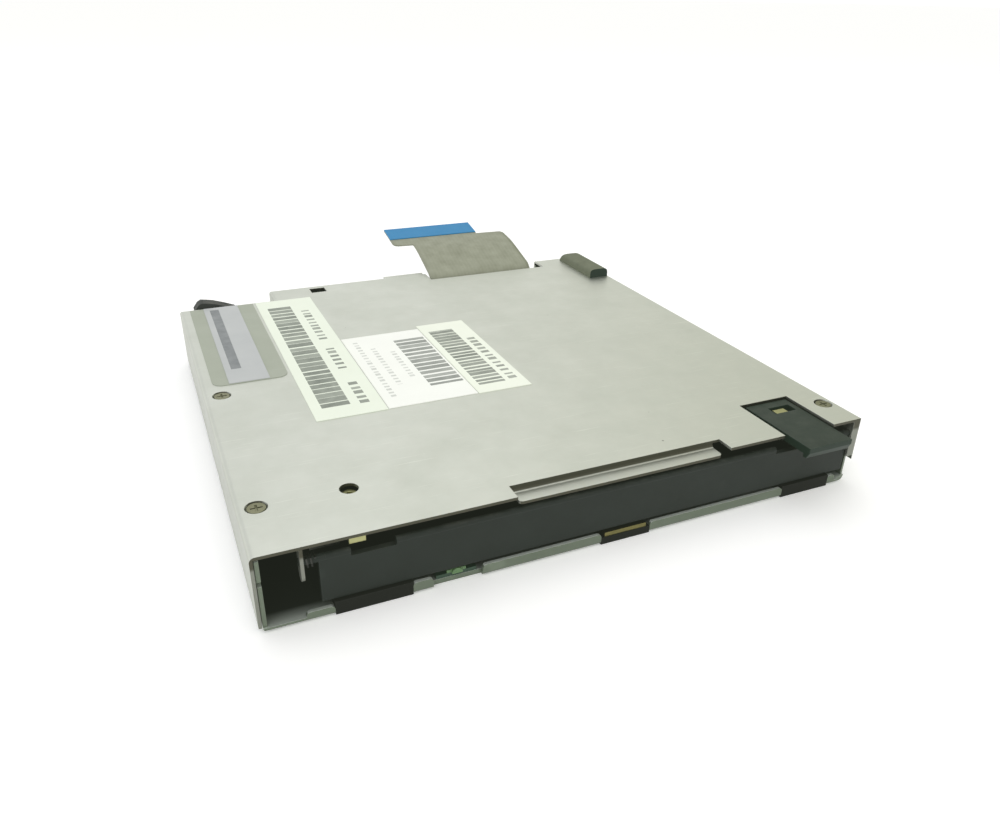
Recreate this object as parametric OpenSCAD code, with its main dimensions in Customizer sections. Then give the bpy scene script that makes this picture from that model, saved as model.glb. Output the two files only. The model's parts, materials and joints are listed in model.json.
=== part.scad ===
// Slim floppy disk drive without its bezel: a stepped sheet-metal case with a sprung front door,
// an eject button on a slide plate, a disk holder that drops onto the spindle, and a screw-driven
// head carriage. Millimetres. The origin is the centre of the case's footprint on its underside,
// +X is right along the front, +Y runs to the rear and +Z is up.

/* [Disk] */
// Width of the disk that goes in
disk_w = 90; // [88:0.5:92]
// Length of the disk
disk_l = 94; // [92:0.5:96]
// Thickness of the disk
disk_t = 3.3; // [3:0.1:3.6]
// Length of disk that stands out in front when it is loaded
disk_overhang = 8.5; // [7:0.25:10]
// Hub centre to the disk's leading edge
hub_to_edge = 46; // [45:0.5:47]
// How far the disk drops onto the spindle
disk_lift = 1.6; // [1.2:0.1:1.8]

/* [Sheet metal] */
// Thickness of the cover
cover_t = 0.5; // [0.4:0.05:0.7]
// Thickness of the pan's floor
pan_t = 0.8; // [0.7:0.05:1]
// Thickness of the pan's walls and posts
wall_t = 0.6; // [0.5:0.05:0.8]
// Thickness of the disk holder
holder_t = 0.5; // [0.4:0.05:0.7]
// Thickness of the slide plate
slide_t = 0.6; // [0.5:0.05:0.8]
// Outside radius of the cover's bends
bend_r = 0.8; // [0.4:0.1:1.1]

/* [Case] */
// Free channel left of the disk bay
left_room = 5.2; // [4.8:0.1:8]
// Free room right of the disk bay
right_room = 0.2; // [0.2:0.1:2]
// Room behind the head carriage at its rear stop
rear_room = 1.1; // [0.6:0.1:3]
// Room between the slide plate and the cover
headroom = 1.25; // [1.2:0.05:2]
// Width of the shallow rear left corner
step_w = 21; // [18:0.2:26]
// How much shallower that corner is
step_d = 7; // [5:0.25:8]
// Height of the pan's front lip
lip_h = 2; // [1.6:0.1:2.2]
// Lowest point of the cover's left skirt
left_skirt_z = 1; // [0.5:0.1:4]
// Lowest point of the cover's right skirt
right_skirt_z = 4.4; // [2:0.1:8]
// Lowest point of the cover's rear skirt
rear_skirt_z = 6; // [3:0.25:9]

/* [Cover features] */
// Left end of the lowered front lip
front_lip_x = 38.2; // [34:0.2:40]
// Width of the lowered front lip
front_lip_w = 37; // [30:0.5:40]
// Depth of the lowered front lip
front_lip_d = 3.2; // [2.5:0.1:4]
// How far the front lip is lowered
front_lip_drop = 1.2; // [0.8:0.05:1.2]
// Distance from the button to the case's right side
button_edge = 7.3; // [6.8:0.1:9]
// Depth of the button notch
notch_d = 12; // [11.8:0.1:14]
// Head diameter of the cover screws
screw_head_d = 2.7; // [2.4:0.1:3.2]
// Spacing of the mounting holes across the case's underside
mount_span_y = 60; // [55:0.5:62]
// Distance from a mounting hole to the case's side
mount_edge = 4.2; // [3.8:0.1:4.6]
// Diameter of the mounting holes
mount_hole_d = 1.6; // [1.5:0.05:2]

/* [Labels] */
// Left side of the long label
label_x = 16.5; // [16.4:0.1:18]
// Front end of the labels
label_y = 34; // [28:0.2:38]
// Width of the long label
long_label_w = 12.6; // [10:0.2:13]
// Width of the wide label
wide_label_w = 16.8; // [15:0.2:19]
// Length of the wide label
wide_label_l = 34.2; // [28:0.2:38]
// Width of the narrow label
narrow_label_w = 10.6; // [9:0.2:12]
// Length of the narrow label
narrow_label_l = 36; // [30:0.2:40]
// Left side of the tape pad
pad_x = 2.1; // [2:0.1:4]
// Width of the tape pad
pad_w = 13.8; // [11:0.2:14]
// Width of the liner strip on the pad
liner_w = 7.4; // [5:0.2:9]

/* [Door] */
// Height of the front door
door_h = 7.7; // [6.5:0.1:7.7]
// Thickness of the front door
door_t = 1; // [0.8:0.1:1.2]
// Door width beyond the disk, on its left
door_margin = 1.1; // [0.6:0.1:1.1]
// Diameter of the door's hinge pins
door_pin_d = 1.2; // [0.8:0.1:1.4]

/* [Eject] */
// Travel of the slide plate and button
eject_travel = 4.5; // [3.5:0.25:5]
// Width of the eject button
button_w = 9; // [8.2:0.2:10]
// How far the button stands out in front
button_reach = 4.8; // [3:0.2:7]
// Angle that the latch lever turns through
lever_sweep = 40; // [36:1:42]

/* [Heads] */
// Radius of the outermost track
track_out = 39.5; // [39:0.1:40]
// Radius of the innermost track
track_in = 24.7; // [24.5:0.1:25.5]
// Diameter of the main guide rod
rod_d = 2; // [1.6:0.1:2.1]
// Lead of the stepper's screw
screw_lead = 3; // [2.5:0.25:3.5]
// Outside diameter of the stepper's screw
screw_d = 2; // [1.8:0.1:2.1]

/* [Spindle] */
// Diameter of the spindle's rotor
rotor_d = 37; // [33:0.5:37]
// Diameter of the spindle's shaft
shaft_d = 4; // [3.5:0.1:4]
// Diameter of the hub that carries the disk
hub_d = 25; // [24:0.5:26]

/* [Rear] */
// Width of the flat cable
cable_w = 27; // [25:0.5:28]
// Left side of the flat cable, right of the disk bay's centre
cable_x = 6.9; // [6.9:0.1:8]
// How much wider to the left the cable is above the case
cable_flare = 1.1; // [0:0.1:1.4]
// Thickness of the flat cable
cable_t = 0.3; // [0.2:0.05:0.4]
// Width of the cable's tail
tail_w = 24.5; // [22:0.5:25]
// How far the tail is jogged to the left
tail_jog = 6.3; // [4:0.1:7]
// Height of the foam bumper above the cover
bumper_h = 2.2; // [1.5:0.1:3.5]

/* [Hidden] */

$fn = 48;
// Overshoot of every cutter past the face that it opens
over = 1;

// Clearances
play = 0.1;
seam_gap = 0.1;
side_play = 0.3;
slide_gap = 0.4;
guide_gap = 0.5;
ear_gap = 0.2;
run_fit = 0.05;
seat_gap = 0.02;

// Layers of the spindle motor and the stack above it
motor_board_t = 0.5;
motor_board_r = rotor_d / 2 + 1.7;
coil_t = 0.65;
air_gap = 0.25;
magnet_t = 0.6;
yoke_t = 0.5;
hub_t = 0.85;
magnet_z = pan_t + motor_board_t + coil_t + air_gap;
yoke_z = magnet_z + magnet_t;
hub_z = yoke_z + yoke_t;
disk_low_z = hub_z + hub_t;
disk_up_z = disk_low_z + disk_lift;
disk_up_top = disk_up_z + disk_t;
medium_z = disk_low_z + disk_t / 2;
holder_under = disk_up_top + play;
holder_top = holder_under + holder_t;
lever_room = 0.7;
slide_z = holder_top + lever_room;
slide_top = slide_z + slide_t;
cover_under = slide_top + headroom;
body_h = cover_under + cover_t;

// Side by side from the bay's centre: holder, slide plate's flange, guide post, hinge ear
holder_in = disk_w / 2 + side_play;
holder_out = holder_in + holder_t;
flange_in = holder_out + slide_gap;
flange_out = flange_in + slide_t;
guide_in = flange_out + guide_gap;
guide_out = guide_in + wall_t;
ear_in = guide_out + ear_gap;
ear_out = ear_in + cover_t;
case_skin = cover_t + seam_gap + wall_t;
body_w = 2 * ear_out + right_room + left_room + 2 * case_skin;

// Front to back: disk, head carriage's post, rear room
head_travel = track_out - track_in;
post_t = 2.5;
post_gap = 0.4;
body_d = disk_l - disk_overhang + post_gap + head_travel + post_t + rear_room + case_skin;

left_x = -body_w / 2;
right_x = body_w / 2;
front_y = -body_d / 2;
back_y = body_d / 2;
step_x = left_x + step_w;
step_y = back_y - step_d;
bay_x = right_x - case_skin - right_room - ear_out;
pan_left = left_x + cover_t + seam_gap;
pan_right = right_x - cover_t - seam_gap;
pan_back = back_y - cover_t - seam_gap;
pan_step_x = step_x + cover_t + seam_gap;
pan_step_y = step_y - cover_t - seam_gap;
disk_back_y = front_y + disk_l - disk_overhang;
hub_y = disk_back_y - hub_to_edge;
motor_tongue_y = hub_y + motor_board_r - 3.6;
coil_ring_r = rotor_d / 2 - 7.1;

// Door and hinge
door_inset = 0.5;
barrel_r = 0.55;
door_half = disk_w / 2 + door_margin;
door_right = bay_x + ear_in - 0.3;
hinge_y = front_y + door_inset + door_t / 2;
hinge_z = holder_under + door_t / 2;
door_bottom = hinge_z + barrel_r - door_h;
door_reach = norm([hinge_z - door_bottom, door_t / 2]);
ear_bottom = hinge_z - 3.2;
ear_d = 2.2;

// Disk holder, guide pins and slide plate
holder_front_y = hinge_y + door_reach + 1;
holder_back_y = disk_back_y - 0.9;
holder_rail = 4;
pin_r = 0.8;
pin_ys = [holder_front_y + 11.7, disk_back_y - 11.5];
pin_z = holder_under - 1.75;
slide_front_y = holder_front_y + 1.2;
slide_back_y = disk_back_y - 5.5;
flange_z = pin_z - disk_lift - pin_r - 0.4;
flange_front_y = slide_front_y + 3.4;
spring_dx = 30;
spring_front_y = holder_front_y + 23.7;
spring_len = 16;
window_front_y = disk_back_y - 33.5;
strip_dx = flange_out - 3.8;
button_right = right_x - button_edge;
button_left = button_right - button_w;
button_top = cover_under + 0.15;
window_w = 4.6;
window_x = button_right - 3.3;
window_y = front_y + 8.6;
window_l = 2.2;
rivet_x = left_x + 16.2;
rivet_y = front_y + 11.6;

// Latch lever
lever_r = 22;
lever_rest = 16;
lever_t = 0.8;
lever_z = holder_top + 0.3;
lever_half = 1.6;
shutter_r = 0.7;
stud_r = 1.5;
lever_px = bay_x + 30;
lever_py = disk_back_y + shutter_r + run_fit - lever_r * sin(lever_sweep - lever_rest);
tail_half = 1.2;
tab_r = 0.8;
tail_reach = eject_travel / (lever_sweep * PI / 180);
tab_y = lever_py
    + (tail_half + tab_r + play + tail_reach * sin(lever_sweep / 2)) / cos(lever_sweep / 2);

// Head carriage
head_y = hub_y + track_out;
carriage_front_y = head_y - 5;
post_front_y = disk_back_y + post_gap + head_travel;
post_back_y = post_front_y + post_t;
carriage_z = pan_t + 0.7;
carriage_top = carriage_z + 2.1;
block_left = bay_x - 5;
block_right = bay_x + 2;
rod_x = bay_x + 4;
rod_z = pan_t + 1.7;
boss_half = 1.6;
boss_ys = [head_y + 5, head_y + 19];
side_rod_x = bay_x - 8.2;
side_rod_r = 0.75;
fork_ys = [head_y + 9, head_y + 13];
fork_t = 0.7;
arm_y = post_front_y + post_t / 2;
arm_z = disk_low_z + disk_t + 0.3;
arm_pin_r = 0.5;
arm_t = 0.5;
arm_half = 4;
arm_lift = asin((disk_up_top + play / 2 - medium_z) / (arm_y - head_y));
head_l = 3;
head_w = 3.6;

// Stepper motor and screw
screw_x = bay_x - 14.5;
screw_z = pan_t + 2.2;
can_w = 9;
can_h = 4.3;
can_front_y = head_y + 12;
can_back_y = pan_back - wall_t - rear_room + 0.4;
bracket_t = 0.6;
screw_front_y = head_y - 7.8;
journal_r = 0.62;
thread_ys = [screw_front_y + 2.3, can_front_y - 0.5];
needle_y = head_y + 9.7;
needle_r = 0.25;
thread_amp = 0.17;

// Boards
board_t = 0.7;
board_z = pan_t + 0.5;
board_top = board_z + board_t;
board_left = bay_x + 11.5;
board_right = right_x - case_skin - 5.3;
board_front_y = disk_back_y - 23.5;
board_back_y = pan_back - wall_t - 0.9;
board_ext_left = bay_x + 5.9;
board_ext_y = head_y + 9;
standoffs = [[board_left + 3, board_front_y + 3], [board_right - 3, board_front_y + 3],
    [board_right - 3, board_back_y - 3]];

// Flat cable's side view, from the socket to the tip: [distance behind the rear face, height]
cable_left = bay_x + cable_x;
cable_right = cable_left + cable_w;
socket_back_y = back_y - 8.7;
cable_rise_y = back_y - 4.9;
cable_low_z = board_top + 1.1;
cable_bend_r = 2;
cable_over_r = 4;
cable_slope = 22;
tail_slope = 12;
tail_bend_r = 20;
ramp_len = 7.6;
tail_len = 10.6;
stiffener_len = 5.8;
stiffener_t = 0.2;
jog_y = back_y + 9.4;
jog_overlap = 2.6;
cable_side_gap = 3.4;
cable_sill_z = rear_skirt_z + 3;
tail_left = cable_left - tail_jog;
flare_left = cable_left - cable_flare;
flare_z = 9.4;
cable_lean = 1.2;

// Gaps of the front lip, as shares of the width, with the lamp, sensors and leaf behind them
lip_gaps = [for (g = [[0.1, 0.2086], [0.2381, 0.3124], [0.5057, 0.5919], [0.8505, 0.9495]])
    [left_x + g[0] * body_w, left_x + g[1] * body_w]];
lip_runs = [[lip_gaps[0][0] - 4, lip_gaps[0][0], lip_h - 0.4],
    [lip_gaps[0][1], lip_gaps[1][0], lip_h], [lip_gaps[1][1], lip_gaps[2][0], lip_h],
    [lip_gaps[2][1], lip_gaps[3][0], lip_h], [lip_gaps[3][1], lip_gaps[3][1] + 1.6, lip_h]];
gap_d = 0.9;
gap_edge = 0.7;
sensor_d = 5;
sensor_h = 1.4;
leaf_seat_h = 0.45;

// Cover screws: [x, y, length under the head]
screw_spots = [[left_x + 3.1, front_y + 50.4, 2.4], [left_x + 2.9, front_y + 11.7, 2.4],
    [right_x - 2.5, front_y + 7.1, 1.05]];
screw_r = 0.8;
dimple_depth = 0.55;
dimple_skin = 0.4;
tab_top = body_h - dimple_depth - dimple_skin - run_fit;
tab_t = 0.6;
tab_half = 2.5;
tab_root = 6;
right_wall_cut = screw_spots[2][1] - front_y + tab_half + 0.8;
right_wall_z = right_skirt_z + 0.8;
corner_cut = [2.8, 0.9];

mount_x = body_w / 2 - mount_edge;
mount_ys = [front_y + 30, front_y + 30 + mount_span_y];
collar_h = 0.8;
collar_r = 2;

// Shapes that repeat
module block(a, b) {
    translate(a) cube(b - a);
}

module rod_along_x(y, z, r, x0, x1) {
    translate([x0, y, z]) rotate([0, 90, 0]) cylinder(h = x1 - x0, r = r);
}

module rod_along_y(x, z, r, y0, y1) {
    translate([x, y0, z]) rotate([-90, 0, 0]) cylinder(h = y1 - y0, r = r);
}

module rod_along_z(x, y, r, z0, z1) {
    translate([x, y, z0]) cylinder(h = z1 - z0, r = r);
}

module screw(x, y, seat_z, head_r, head_h, shank_r, shank_l) {
    difference() {
        union() {
            rod_along_z(x, y, head_r, seat_z, seat_z + head_h);
            rod_along_z(x, y, shank_r, seat_z - shank_l, seat_z + head_h / 2);
        }
        for (a = [0, 90])
            translate([x, y, seat_z + head_h]) rotate(a)
                cube([head_r * 1.3, head_r * 0.24, head_h * 1.2], center = true);
    }
}

function unit(v) = v / norm(v);

// Rings of points round a path. The path is never parallel to the axis
function tube_points(path, r, sides, axis) = [
    for (i = [0:len(path) - 1])
        let (t = unit(path[min(i + 1, len(path) - 1)] - path[max(i - 1, 0)]),
            u = unit(cross(t, axis)),
            v = cross(t, u))
        for (k = [0:sides - 1])
            path[i] + r * (cos(360 * k / sides) * u + sin(360 * k / sides) * v)];

function tube_faces(rings, sides) = concat(
    [[for (k = [0:sides - 1]) k]],
    [for (i = [0:rings - 2]) for (k = [0:sides - 1])
        let (a = i * sides + k, b = i * sides + (k + 1) % sides)
        for (f = [[a, a + sides, b + sides], [a, b + sides, b]]) f],
    [[for (k = [sides - 1:-1:0]) (rings - 1) * sides + k]]);

module tube(path, r, axis) {
    polyhedron(tube_points(path, r, 6, axis), tube_faces(len(path), 6), convexity = 10);
}

// Points of a helix round +Z, with a straight leg along the tangent at each end
function helix(r, turns, pitch, leg) = let (n = 8 * turns, a1 = 360 * turns) concat(
    [[r, -leg, 0]],
    [for (i = [0:n]) [r * cos(360 * i / 8), r * sin(360 * i / 8), pitch * i / 8]],
    [[r * cos(a1) - leg * sin(a1), r * sin(a1) + leg * cos(a1), pitch * turns]]);

module torsion_spring(r, wire_r, turns, pitch, leg) {
    tube(helix(r, turns, pitch, leg), wire_r, [0, 0, 1]);
}

// Case
module case_outline(inset, front) {
    polygon([[left_x + inset, front], [right_x - inset, front], [right_x - inset, back_y - inset],
        [step_x + inset, back_y - inset], [step_x + inset, step_y - inset],
        [left_x + inset, step_y - inset]]);
}

// Rounds the edge at x and z of a body that lies on the other side of side and up
module bend_along_y(x, side, z, up, y0, y1) {
    xs = [x - side * bend_r, x + side * over];
    zs = [z - up * bend_r, z + up * over];
    difference() {
        block([min(xs), y0, min(zs)], [max(xs), y1, max(zs)]);
        rod_along_y(xs[0], zs[0], bend_r, y0 - over, y1 + over);
    }
}

module bend_along_x(y, side, z, up, x0, x1) {
    ys = [y - side * bend_r, y + side * over];
    zs = [z - up * bend_r, z + up * over];
    difference() {
        block([x0, min(ys), min(zs)], [x1, max(ys), max(zs)]);
        rod_along_x(ys[0], zs[0], bend_r, x0 - over, x1 + over);
    }
}

module cover_shell() {
    difference() {
        translate([0, 0, left_skirt_z]) linear_extrude(body_h - left_skirt_z)
            case_outline(0, front_y);
        translate([0, 0, left_skirt_z - over]) linear_extrude(cover_under - left_skirt_z + over)
            case_outline(cover_t, front_y - over);
        block([right_x - cover_t - play, front_y - over, 0],
            [right_x + over, back_y + over, right_skirt_z]);
        block([step_x - over, back_y - cover_t - play, 0],
            [right_x + over, back_y + over, rear_skirt_z]);
        block([step_x - over, step_y - cover_t - play, 0],
            [step_x + cover_t + play, back_y + over, rear_skirt_z]);
        bend_along_y(left_x, -1, body_h, 1, front_y - over, step_y + over);
        bend_along_y(right_x, 1, body_h, 1, front_y - over, back_y + over);
        bend_along_y(step_x, -1, body_h, 1, step_y, back_y + over);
        bend_along_x(back_y, 1, body_h, 1, step_x - over, right_x + over);
        bend_along_x(step_y, 1, body_h, 1, left_x - over, step_x);
    }
}

// Right front corner of the cover: the side wall folds round and meets the hinge ear
module corner_fold() {
    x0 = bay_x + ear_in;
    difference() {
        block([x0, front_y, right_wall_z + seam_gap], [right_x, front_y + cover_t, cover_under + 0.2]);
        rod_along_x(hinge_y, hinge_z, door_pin_d / 2 + run_fit, x0 - over, bay_x + ear_out + ear_gap);
        bend_along_y(right_x, 1, body_h, 1, front_y - over, front_y + over);
    }
}

module hinge_ear(x) {
    difference() {
        union() {
            block([x, front_y + 0.1, ear_bottom + ear_d / 2],
                [x + cover_t, front_y + 0.1 + ear_d, cover_under + 0.2]);
            rod_along_x(front_y + 0.1 + ear_d / 2, ear_bottom + ear_d / 2, ear_d / 2, x, x + cover_t);
        }
        rod_along_x(hinge_y, hinge_z, door_pin_d / 2 + run_fit, x - over, x + cover_t + over);
    }
}

// Lowered front lip: a plate with rounded front corners, and its inner bend
module lip_plate(x0, x1, y0, y1, top) {
    r = 0.7;
    translate([0, 0, top - cover_t]) linear_extrude(cover_t) union() {
        translate([x0, y0 + r]) square([x1 - x0, y1 - y0 - r]);
        translate([x0 + r, y0]) square([x1 - x0 - 2 * r, 2 * r]);
        for (x = [x0 + r, x1 - r]) translate([x, y0 + r]) circle(r);
    }
}

module lip_bend(x0, x1, y, z) {
    r = 0.5;
    difference() {
        block([x0, y - r, z - play], [x1, y + play, z + r]);
        rod_along_x(y - r, z + r, r, x0 - over, x1 + over);
    }
}

module cover() {
    lip_x = left_x + front_lip_x;
    lip_end = lip_x + front_lip_w;
    lip_top = body_h - front_lip_drop;
    riser_y = front_y + front_lip_d;
    hole_x = step_x + 9.3;
    hole_y = back_y - 5.1;
    color([0.79, 0.79, 0.74]) difference() {
        union() {
            difference() {
                cover_shell();
                block([lip_x, front_y - over, cover_under - over],
                    [lip_end + 1.3, riser_y, body_h + over]);
            }
            lip_plate(lip_x + 0.5, lip_end, front_y + 0.35, riser_y + cover_t, lip_top);
            block([lip_x + 0.5, riser_y, lip_top - cover_t], [lip_end, riser_y + cover_t, body_h - play]);
            lip_bend(lip_x + 0.5, lip_end, riser_y, lip_top);
            hinge_ear(bay_x - ear_out);
            hinge_ear(bay_x + ear_in);
            corner_fold();
            block([flare_left - 10.8, back_y - cover_t, cover_under],
                [flare_left - 0.5, back_y + 1.3, cover_under + 0.3]);
            for (s = screw_spots)
                translate([s[0], s[1], body_h - dimple_depth - dimple_skin])
                    cylinder(h = dimple_depth + dimple_skin - play, r1 = screw_head_d / 2 + 0.2,
                        r2 = screw_head_d / 2 + 0.5);
        }
        for (s = screw_spots) translate([s[0], s[1], 0]) {
            translate([0, 0, body_h - dimple_depth])
                cylinder(h = dimple_depth + 0.2, r1 = screw_head_d / 2 + 0.05,
                    r2 = screw_head_d / 2 + 0.4);
            translate([0, 0, cover_under - over]) cylinder(h = 2 * over, r = screw_r + 0.3);
        }
        rod_along_z(rivet_x, rivet_y, 1.45, cover_under - over, body_h + over);
        block([button_left - ear_gap - 0.9, front_y - over, cover_under - over],
            [button_right + ear_gap + 0.4, front_y + notch_d, body_h + over]);
        block([flare_left - 0.2, back_y - 5.6, cable_sill_z],
            [cable_right + cable_side_gap, back_y + over, body_h + over]);
        block([hole_x, hole_y, cover_under - over], [hole_x + 3.6, hole_y + 3, body_h + over]);
        difference() {
            block([right_x - bend_r, front_y - over, 0], [right_x + over, front_y + bend_r, body_h + over]);
            rod_along_z(right_x - bend_r, front_y + bend_r, bend_r, -over, body_h + 2 * over);
        }
    }
}

module pan_floor_outline(front) {
    polygon([[pan_left, front], [pan_right - corner_cut[0], front], [pan_right, front + corner_cut[1]],
        [pan_right, pan_back], [pan_step_x, pan_back], [pan_step_x, pan_step_y], [pan_left, pan_step_y]]);
}

module lip_run(run) {
    r = 0.6;
    translate([0, front_y + wall_t, 0]) rotate([90, 0, 0]) linear_extrude(wall_t) union() {
        translate([run[0], 0]) square([run[1] - run[0], run[2] - r]);
        translate([run[0] + r, 0]) square([run[1] - run[0] - 2 * r, run[2]]);
        for (x = [run[0] + r, run[1] - r]) translate([x, run[2] - r]) circle(r);
    }
}

module guide_post(x, y) {
    difference() {
        block([x, y - 3, 0], [x + wall_t, y + 3, pin_z + 2]);
        block([x - over, y - pin_r - run_fit, pin_z - disk_lift],
            [x + wall_t + over, y + pin_r + run_fit, pin_z + 2 + over]);
        rod_along_x(y, pin_z - disk_lift, pin_r + run_fit, x - over, x + wall_t + over);
    }
}

module pan_walls() {
    difference() {
        linear_extrude(tab_top) pan_floor_outline(front_y + 0.3);
        translate([0, 0, -over]) linear_extrude(tab_top + 2 * over)
            polygon([[pan_left + wall_t, front_y - over], [pan_right - wall_t, front_y - over],
                [pan_right - wall_t, pan_back - wall_t], [pan_step_x + wall_t, pan_back - wall_t],
                [pan_step_x + wall_t, pan_step_y - wall_t], [pan_left + wall_t, pan_step_y - wall_t]]);
        block([pan_left - over, front_y, 7.6], [pan_left + wall_t + over, front_y + 1.1, 8.4]);
        block([pan_right - wall_t - over, front_y - over, right_wall_z],
            [pan_right + over, front_y + right_wall_cut, tab_top + over]);
        block([flare_left, pan_back - wall_t - over, cable_sill_z],
            [cable_right + cable_side_gap, pan_back + over, tab_top + over]);
    }
}

module screw_tab(spot) {
    x = spot[0];
    y = spot[1];
    left_side = x < 0;
    difference() {
        block([left_side ? pan_left : x - tab_half, y - tab_half, tab_top - tab_t],
            [left_side ? x + tab_half : pan_right, y + tab_half + (left_side ? 0 : tab_root), tab_top]);
        rod_along_z(x, y, screw_r + seat_gap, tab_top - tab_t - over, tab_top + over);
    }
}

module pan() {
    color([0.56, 0.57, 0.52]) difference() {
        union() {
            linear_extrude(pan_t) pan_floor_outline(front_y);
            pan_walls();
            for (run = lip_runs) lip_run(run);
            for (y = pin_ys) {
                guide_post(bay_x - guide_out, y);
                guide_post(bay_x + guide_in, y);
            }
            for (s = screw_spots) screw_tab(s);
            for (p = standoffs) rod_along_z(p[0], p[1], 2, 0, board_z);
            for (x = [-mount_x, mount_x]) for (y = mount_ys)
                rod_along_z(x, y, collar_r, 0, pan_t + collar_h);
        }
        for (gap = lip_gaps)
            block([gap[0], front_y - over, -over], [gap[1], front_y + gap_d, pan_t + over]);
        for (x = [-mount_x, mount_x]) for (y = mount_ys)
            rod_along_z(x, y, mount_hole_d / 2, -over, pan_t + collar_h + over);
        for (p = standoffs) rod_along_z(p[0], p[1], 0.62, -over, board_z + over);
        for (c = clamps) rod_along_z(c[0], foot_screw_y(c), foot_screw_r + seat_gap, -over, pan_t + over);
        difference() {
            rod_along_z(bay_x, hub_y, 11.5, -over, 0.25);
            rod_along_z(bay_x, hub_y, 7, -2 * over, over);
        }
        for (dx = [-34, 26])
            block([bay_x + dx, hub_y - 24, -over], [bay_x + dx + 8, hub_y + 26, 0.25]);
        bend_along_y(pan_left, -1, 0, -1, front_y - over, pan_step_y + over);
        bend_along_y(pan_right, 1, 0, -1, front_y - over, pan_back + over);
        bend_along_y(pan_step_x, -1, 0, -1, pan_step_y, pan_back + over);
        bend_along_x(pan_back, 1, 0, -1, pan_step_x - over, pan_right + over);
        bend_along_x(pan_step_y, 1, 0, -1, pan_left - over, pan_step_x);
        bend_along_x(front_y, -1, 0, -1, pan_left - over, pan_right + over);
    }
}

module cover_screws() {
    color([0.42, 0.41, 0.3]) for (s = screw_spots)
        screw(s[0], s[1], body_h - dimple_depth, screw_head_d / 2, 0.45, screw_r, s[2]);
}

// Stickers on the cover, side by side from the left
sticker_t = 0.1;
sticker_gap = 0.2;
long_label_x = left_x + label_x;
wide_label_x = long_label_x + long_label_w + sticker_gap;
narrow_label_x = wide_label_x + wide_label_w + sticker_gap;
labels_front_y = front_y + label_y;
sticker_back_y = step_y - 1.1;
pad_front_y = screw_spots[0][1] + 4;
pad_r = 2;

module sticker(x, y, w, l) {
    translate([x, y, body_h]) cube([w, l, sticker_t]);
}

module long_label() {
    color([0.93, 0.94, 0.89])
        sticker(long_label_x, labels_front_y, long_label_w, sticker_back_y - labels_front_y);
}

module wide_label() {
    color([0.93, 0.94, 0.89]) sticker(wide_label_x, labels_front_y + 0.15, wide_label_w, wide_label_l);
}

module narrow_label() {
    color([0.93, 0.94, 0.89]) sticker(narrow_label_x, labels_front_y, narrow_label_w, narrow_label_l);
}

module tape_pad() {
    l = sticker_back_y - pad_front_y;
    color([0.7, 0.71, 0.64]) translate([left_x + pad_x, pad_front_y, body_h])
        linear_extrude(sticker_t) union() {
            translate([0, pad_r]) square([pad_w, l - pad_r]);
            translate([pad_r, 0]) square([pad_w - 2 * pad_r, 2 * pad_r]);
            for (x = [pad_r, pad_w - pad_r]) translate([x, pad_r]) circle(pad_r);
        }
}

module liner_strip() {
    x = left_x + pad_x + (pad_w - liner_w) / 2 - 0.3;
    color([0.78, 0.8, 0.81]) translate([x, pad_front_y + 0.2, body_h + sticker_t])
        cube([liner_w, sticker_back_y - pad_front_y - 0.2, sticker_t]);
}

module bumper() {
    w = 5.1;
    l = 16.9;
    r = 1.1;
    color([0.45, 0.46, 0.4]) intersection() {
        translate([right_x - 0.8 - w, back_y - 2 - l, body_h]) union() {
            cube([w, l, bumper_h - r]);
            translate([r, 0, 0]) cube([w - 2 * r, l, bumper_h]);
            for (x = [r, w - r]) rod_along_y(x, bumper_h - r, r, 0, l);
        }
        union() {
            block([right_x - w - over, back_y - 3 - l, body_h],
                [right_x, back_y - 2 - bumper_h, body_h + bumper_h]);
            rod_along_x(back_y - 2 - bumper_h, body_h, bumper_h, right_x - w - over, right_x);
        }
    }
}

module rear_buffer() {
    foot_z = body_h - 4.7;
    color([0.2, 0.22, 0.2]) translate([left_x, step_y + 3.2, 0]) rotate([90, 0, 0]) linear_extrude(3)
        polygon([[3.2, foot_z], [12.3, foot_z], [12.3, body_h - 1.1], [10, body_h - 0.2],
            [7.7, body_h + 0.6], [6.2, body_h + 0.9], [4.9, body_h + 1.1], [4.1, body_h + 0.6],
            [3.2, body_h - 0.6]]);
}

// Flat cable
function arc_points(cy, cz, r, a0, a1, n) =
    [for (i = [0:n]) let (a = a0 + (a1 - a0) * i / n) [cy + r * cos(a), cz + r * sin(a)]];

// The cable's middle line, as [y, z]
function cable_line() =
    let (a = 90 + cable_slope,
        over_y = cable_rise_y + cable_over_r,
        over_z = body_h - 2.8,
        p1 = [over_y + cable_over_r * cos(a), over_z + cable_over_r * sin(a)],
        p2 = p1 + ramp_len * [cos(cable_slope), sin(cable_slope)],
        c2 = p2 + tail_bend_r * [sin(cable_slope), -cos(cable_slope)],
        p3 = c2 + tail_bend_r * [-sin(tail_slope), cos(tail_slope)])
    concat([[socket_back_y, cable_low_z]],
        arc_points(cable_rise_y - cable_bend_r, cable_low_z + cable_bend_r, cable_bend_r, -90, 0, 6),
        arc_points(over_y, over_z, cable_over_r, 180, a, 6),
        arc_points(c2[0], c2[1], tail_bend_r, 90 + cable_slope, 90 + tail_slope, 3),
        [p3 + tail_len * [cos(tail_slope), sin(tail_slope)]]);

// Both sides of a line, low and high, measured along its normal
function strip(line, low, high) = let (n = len(line) - 1) concat(
    [for (i = [0:n]) line[i] + low * line_normal(line, i)],
    [for (i = [n:-1:0]) line[i] + high * line_normal(line, i)]);
function line_normal(line, i) =
    let (t = unit(line[min(i + 1, len(line) - 1)] - line[max(i - 1, 0)])) [-t[1], t[0]];

module side_view(points, x0, x1) {
    translate([x0, 0, 0]) rotate([90, 0, 90]) linear_extrude(x1 - x0) polygon(points);
}

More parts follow.
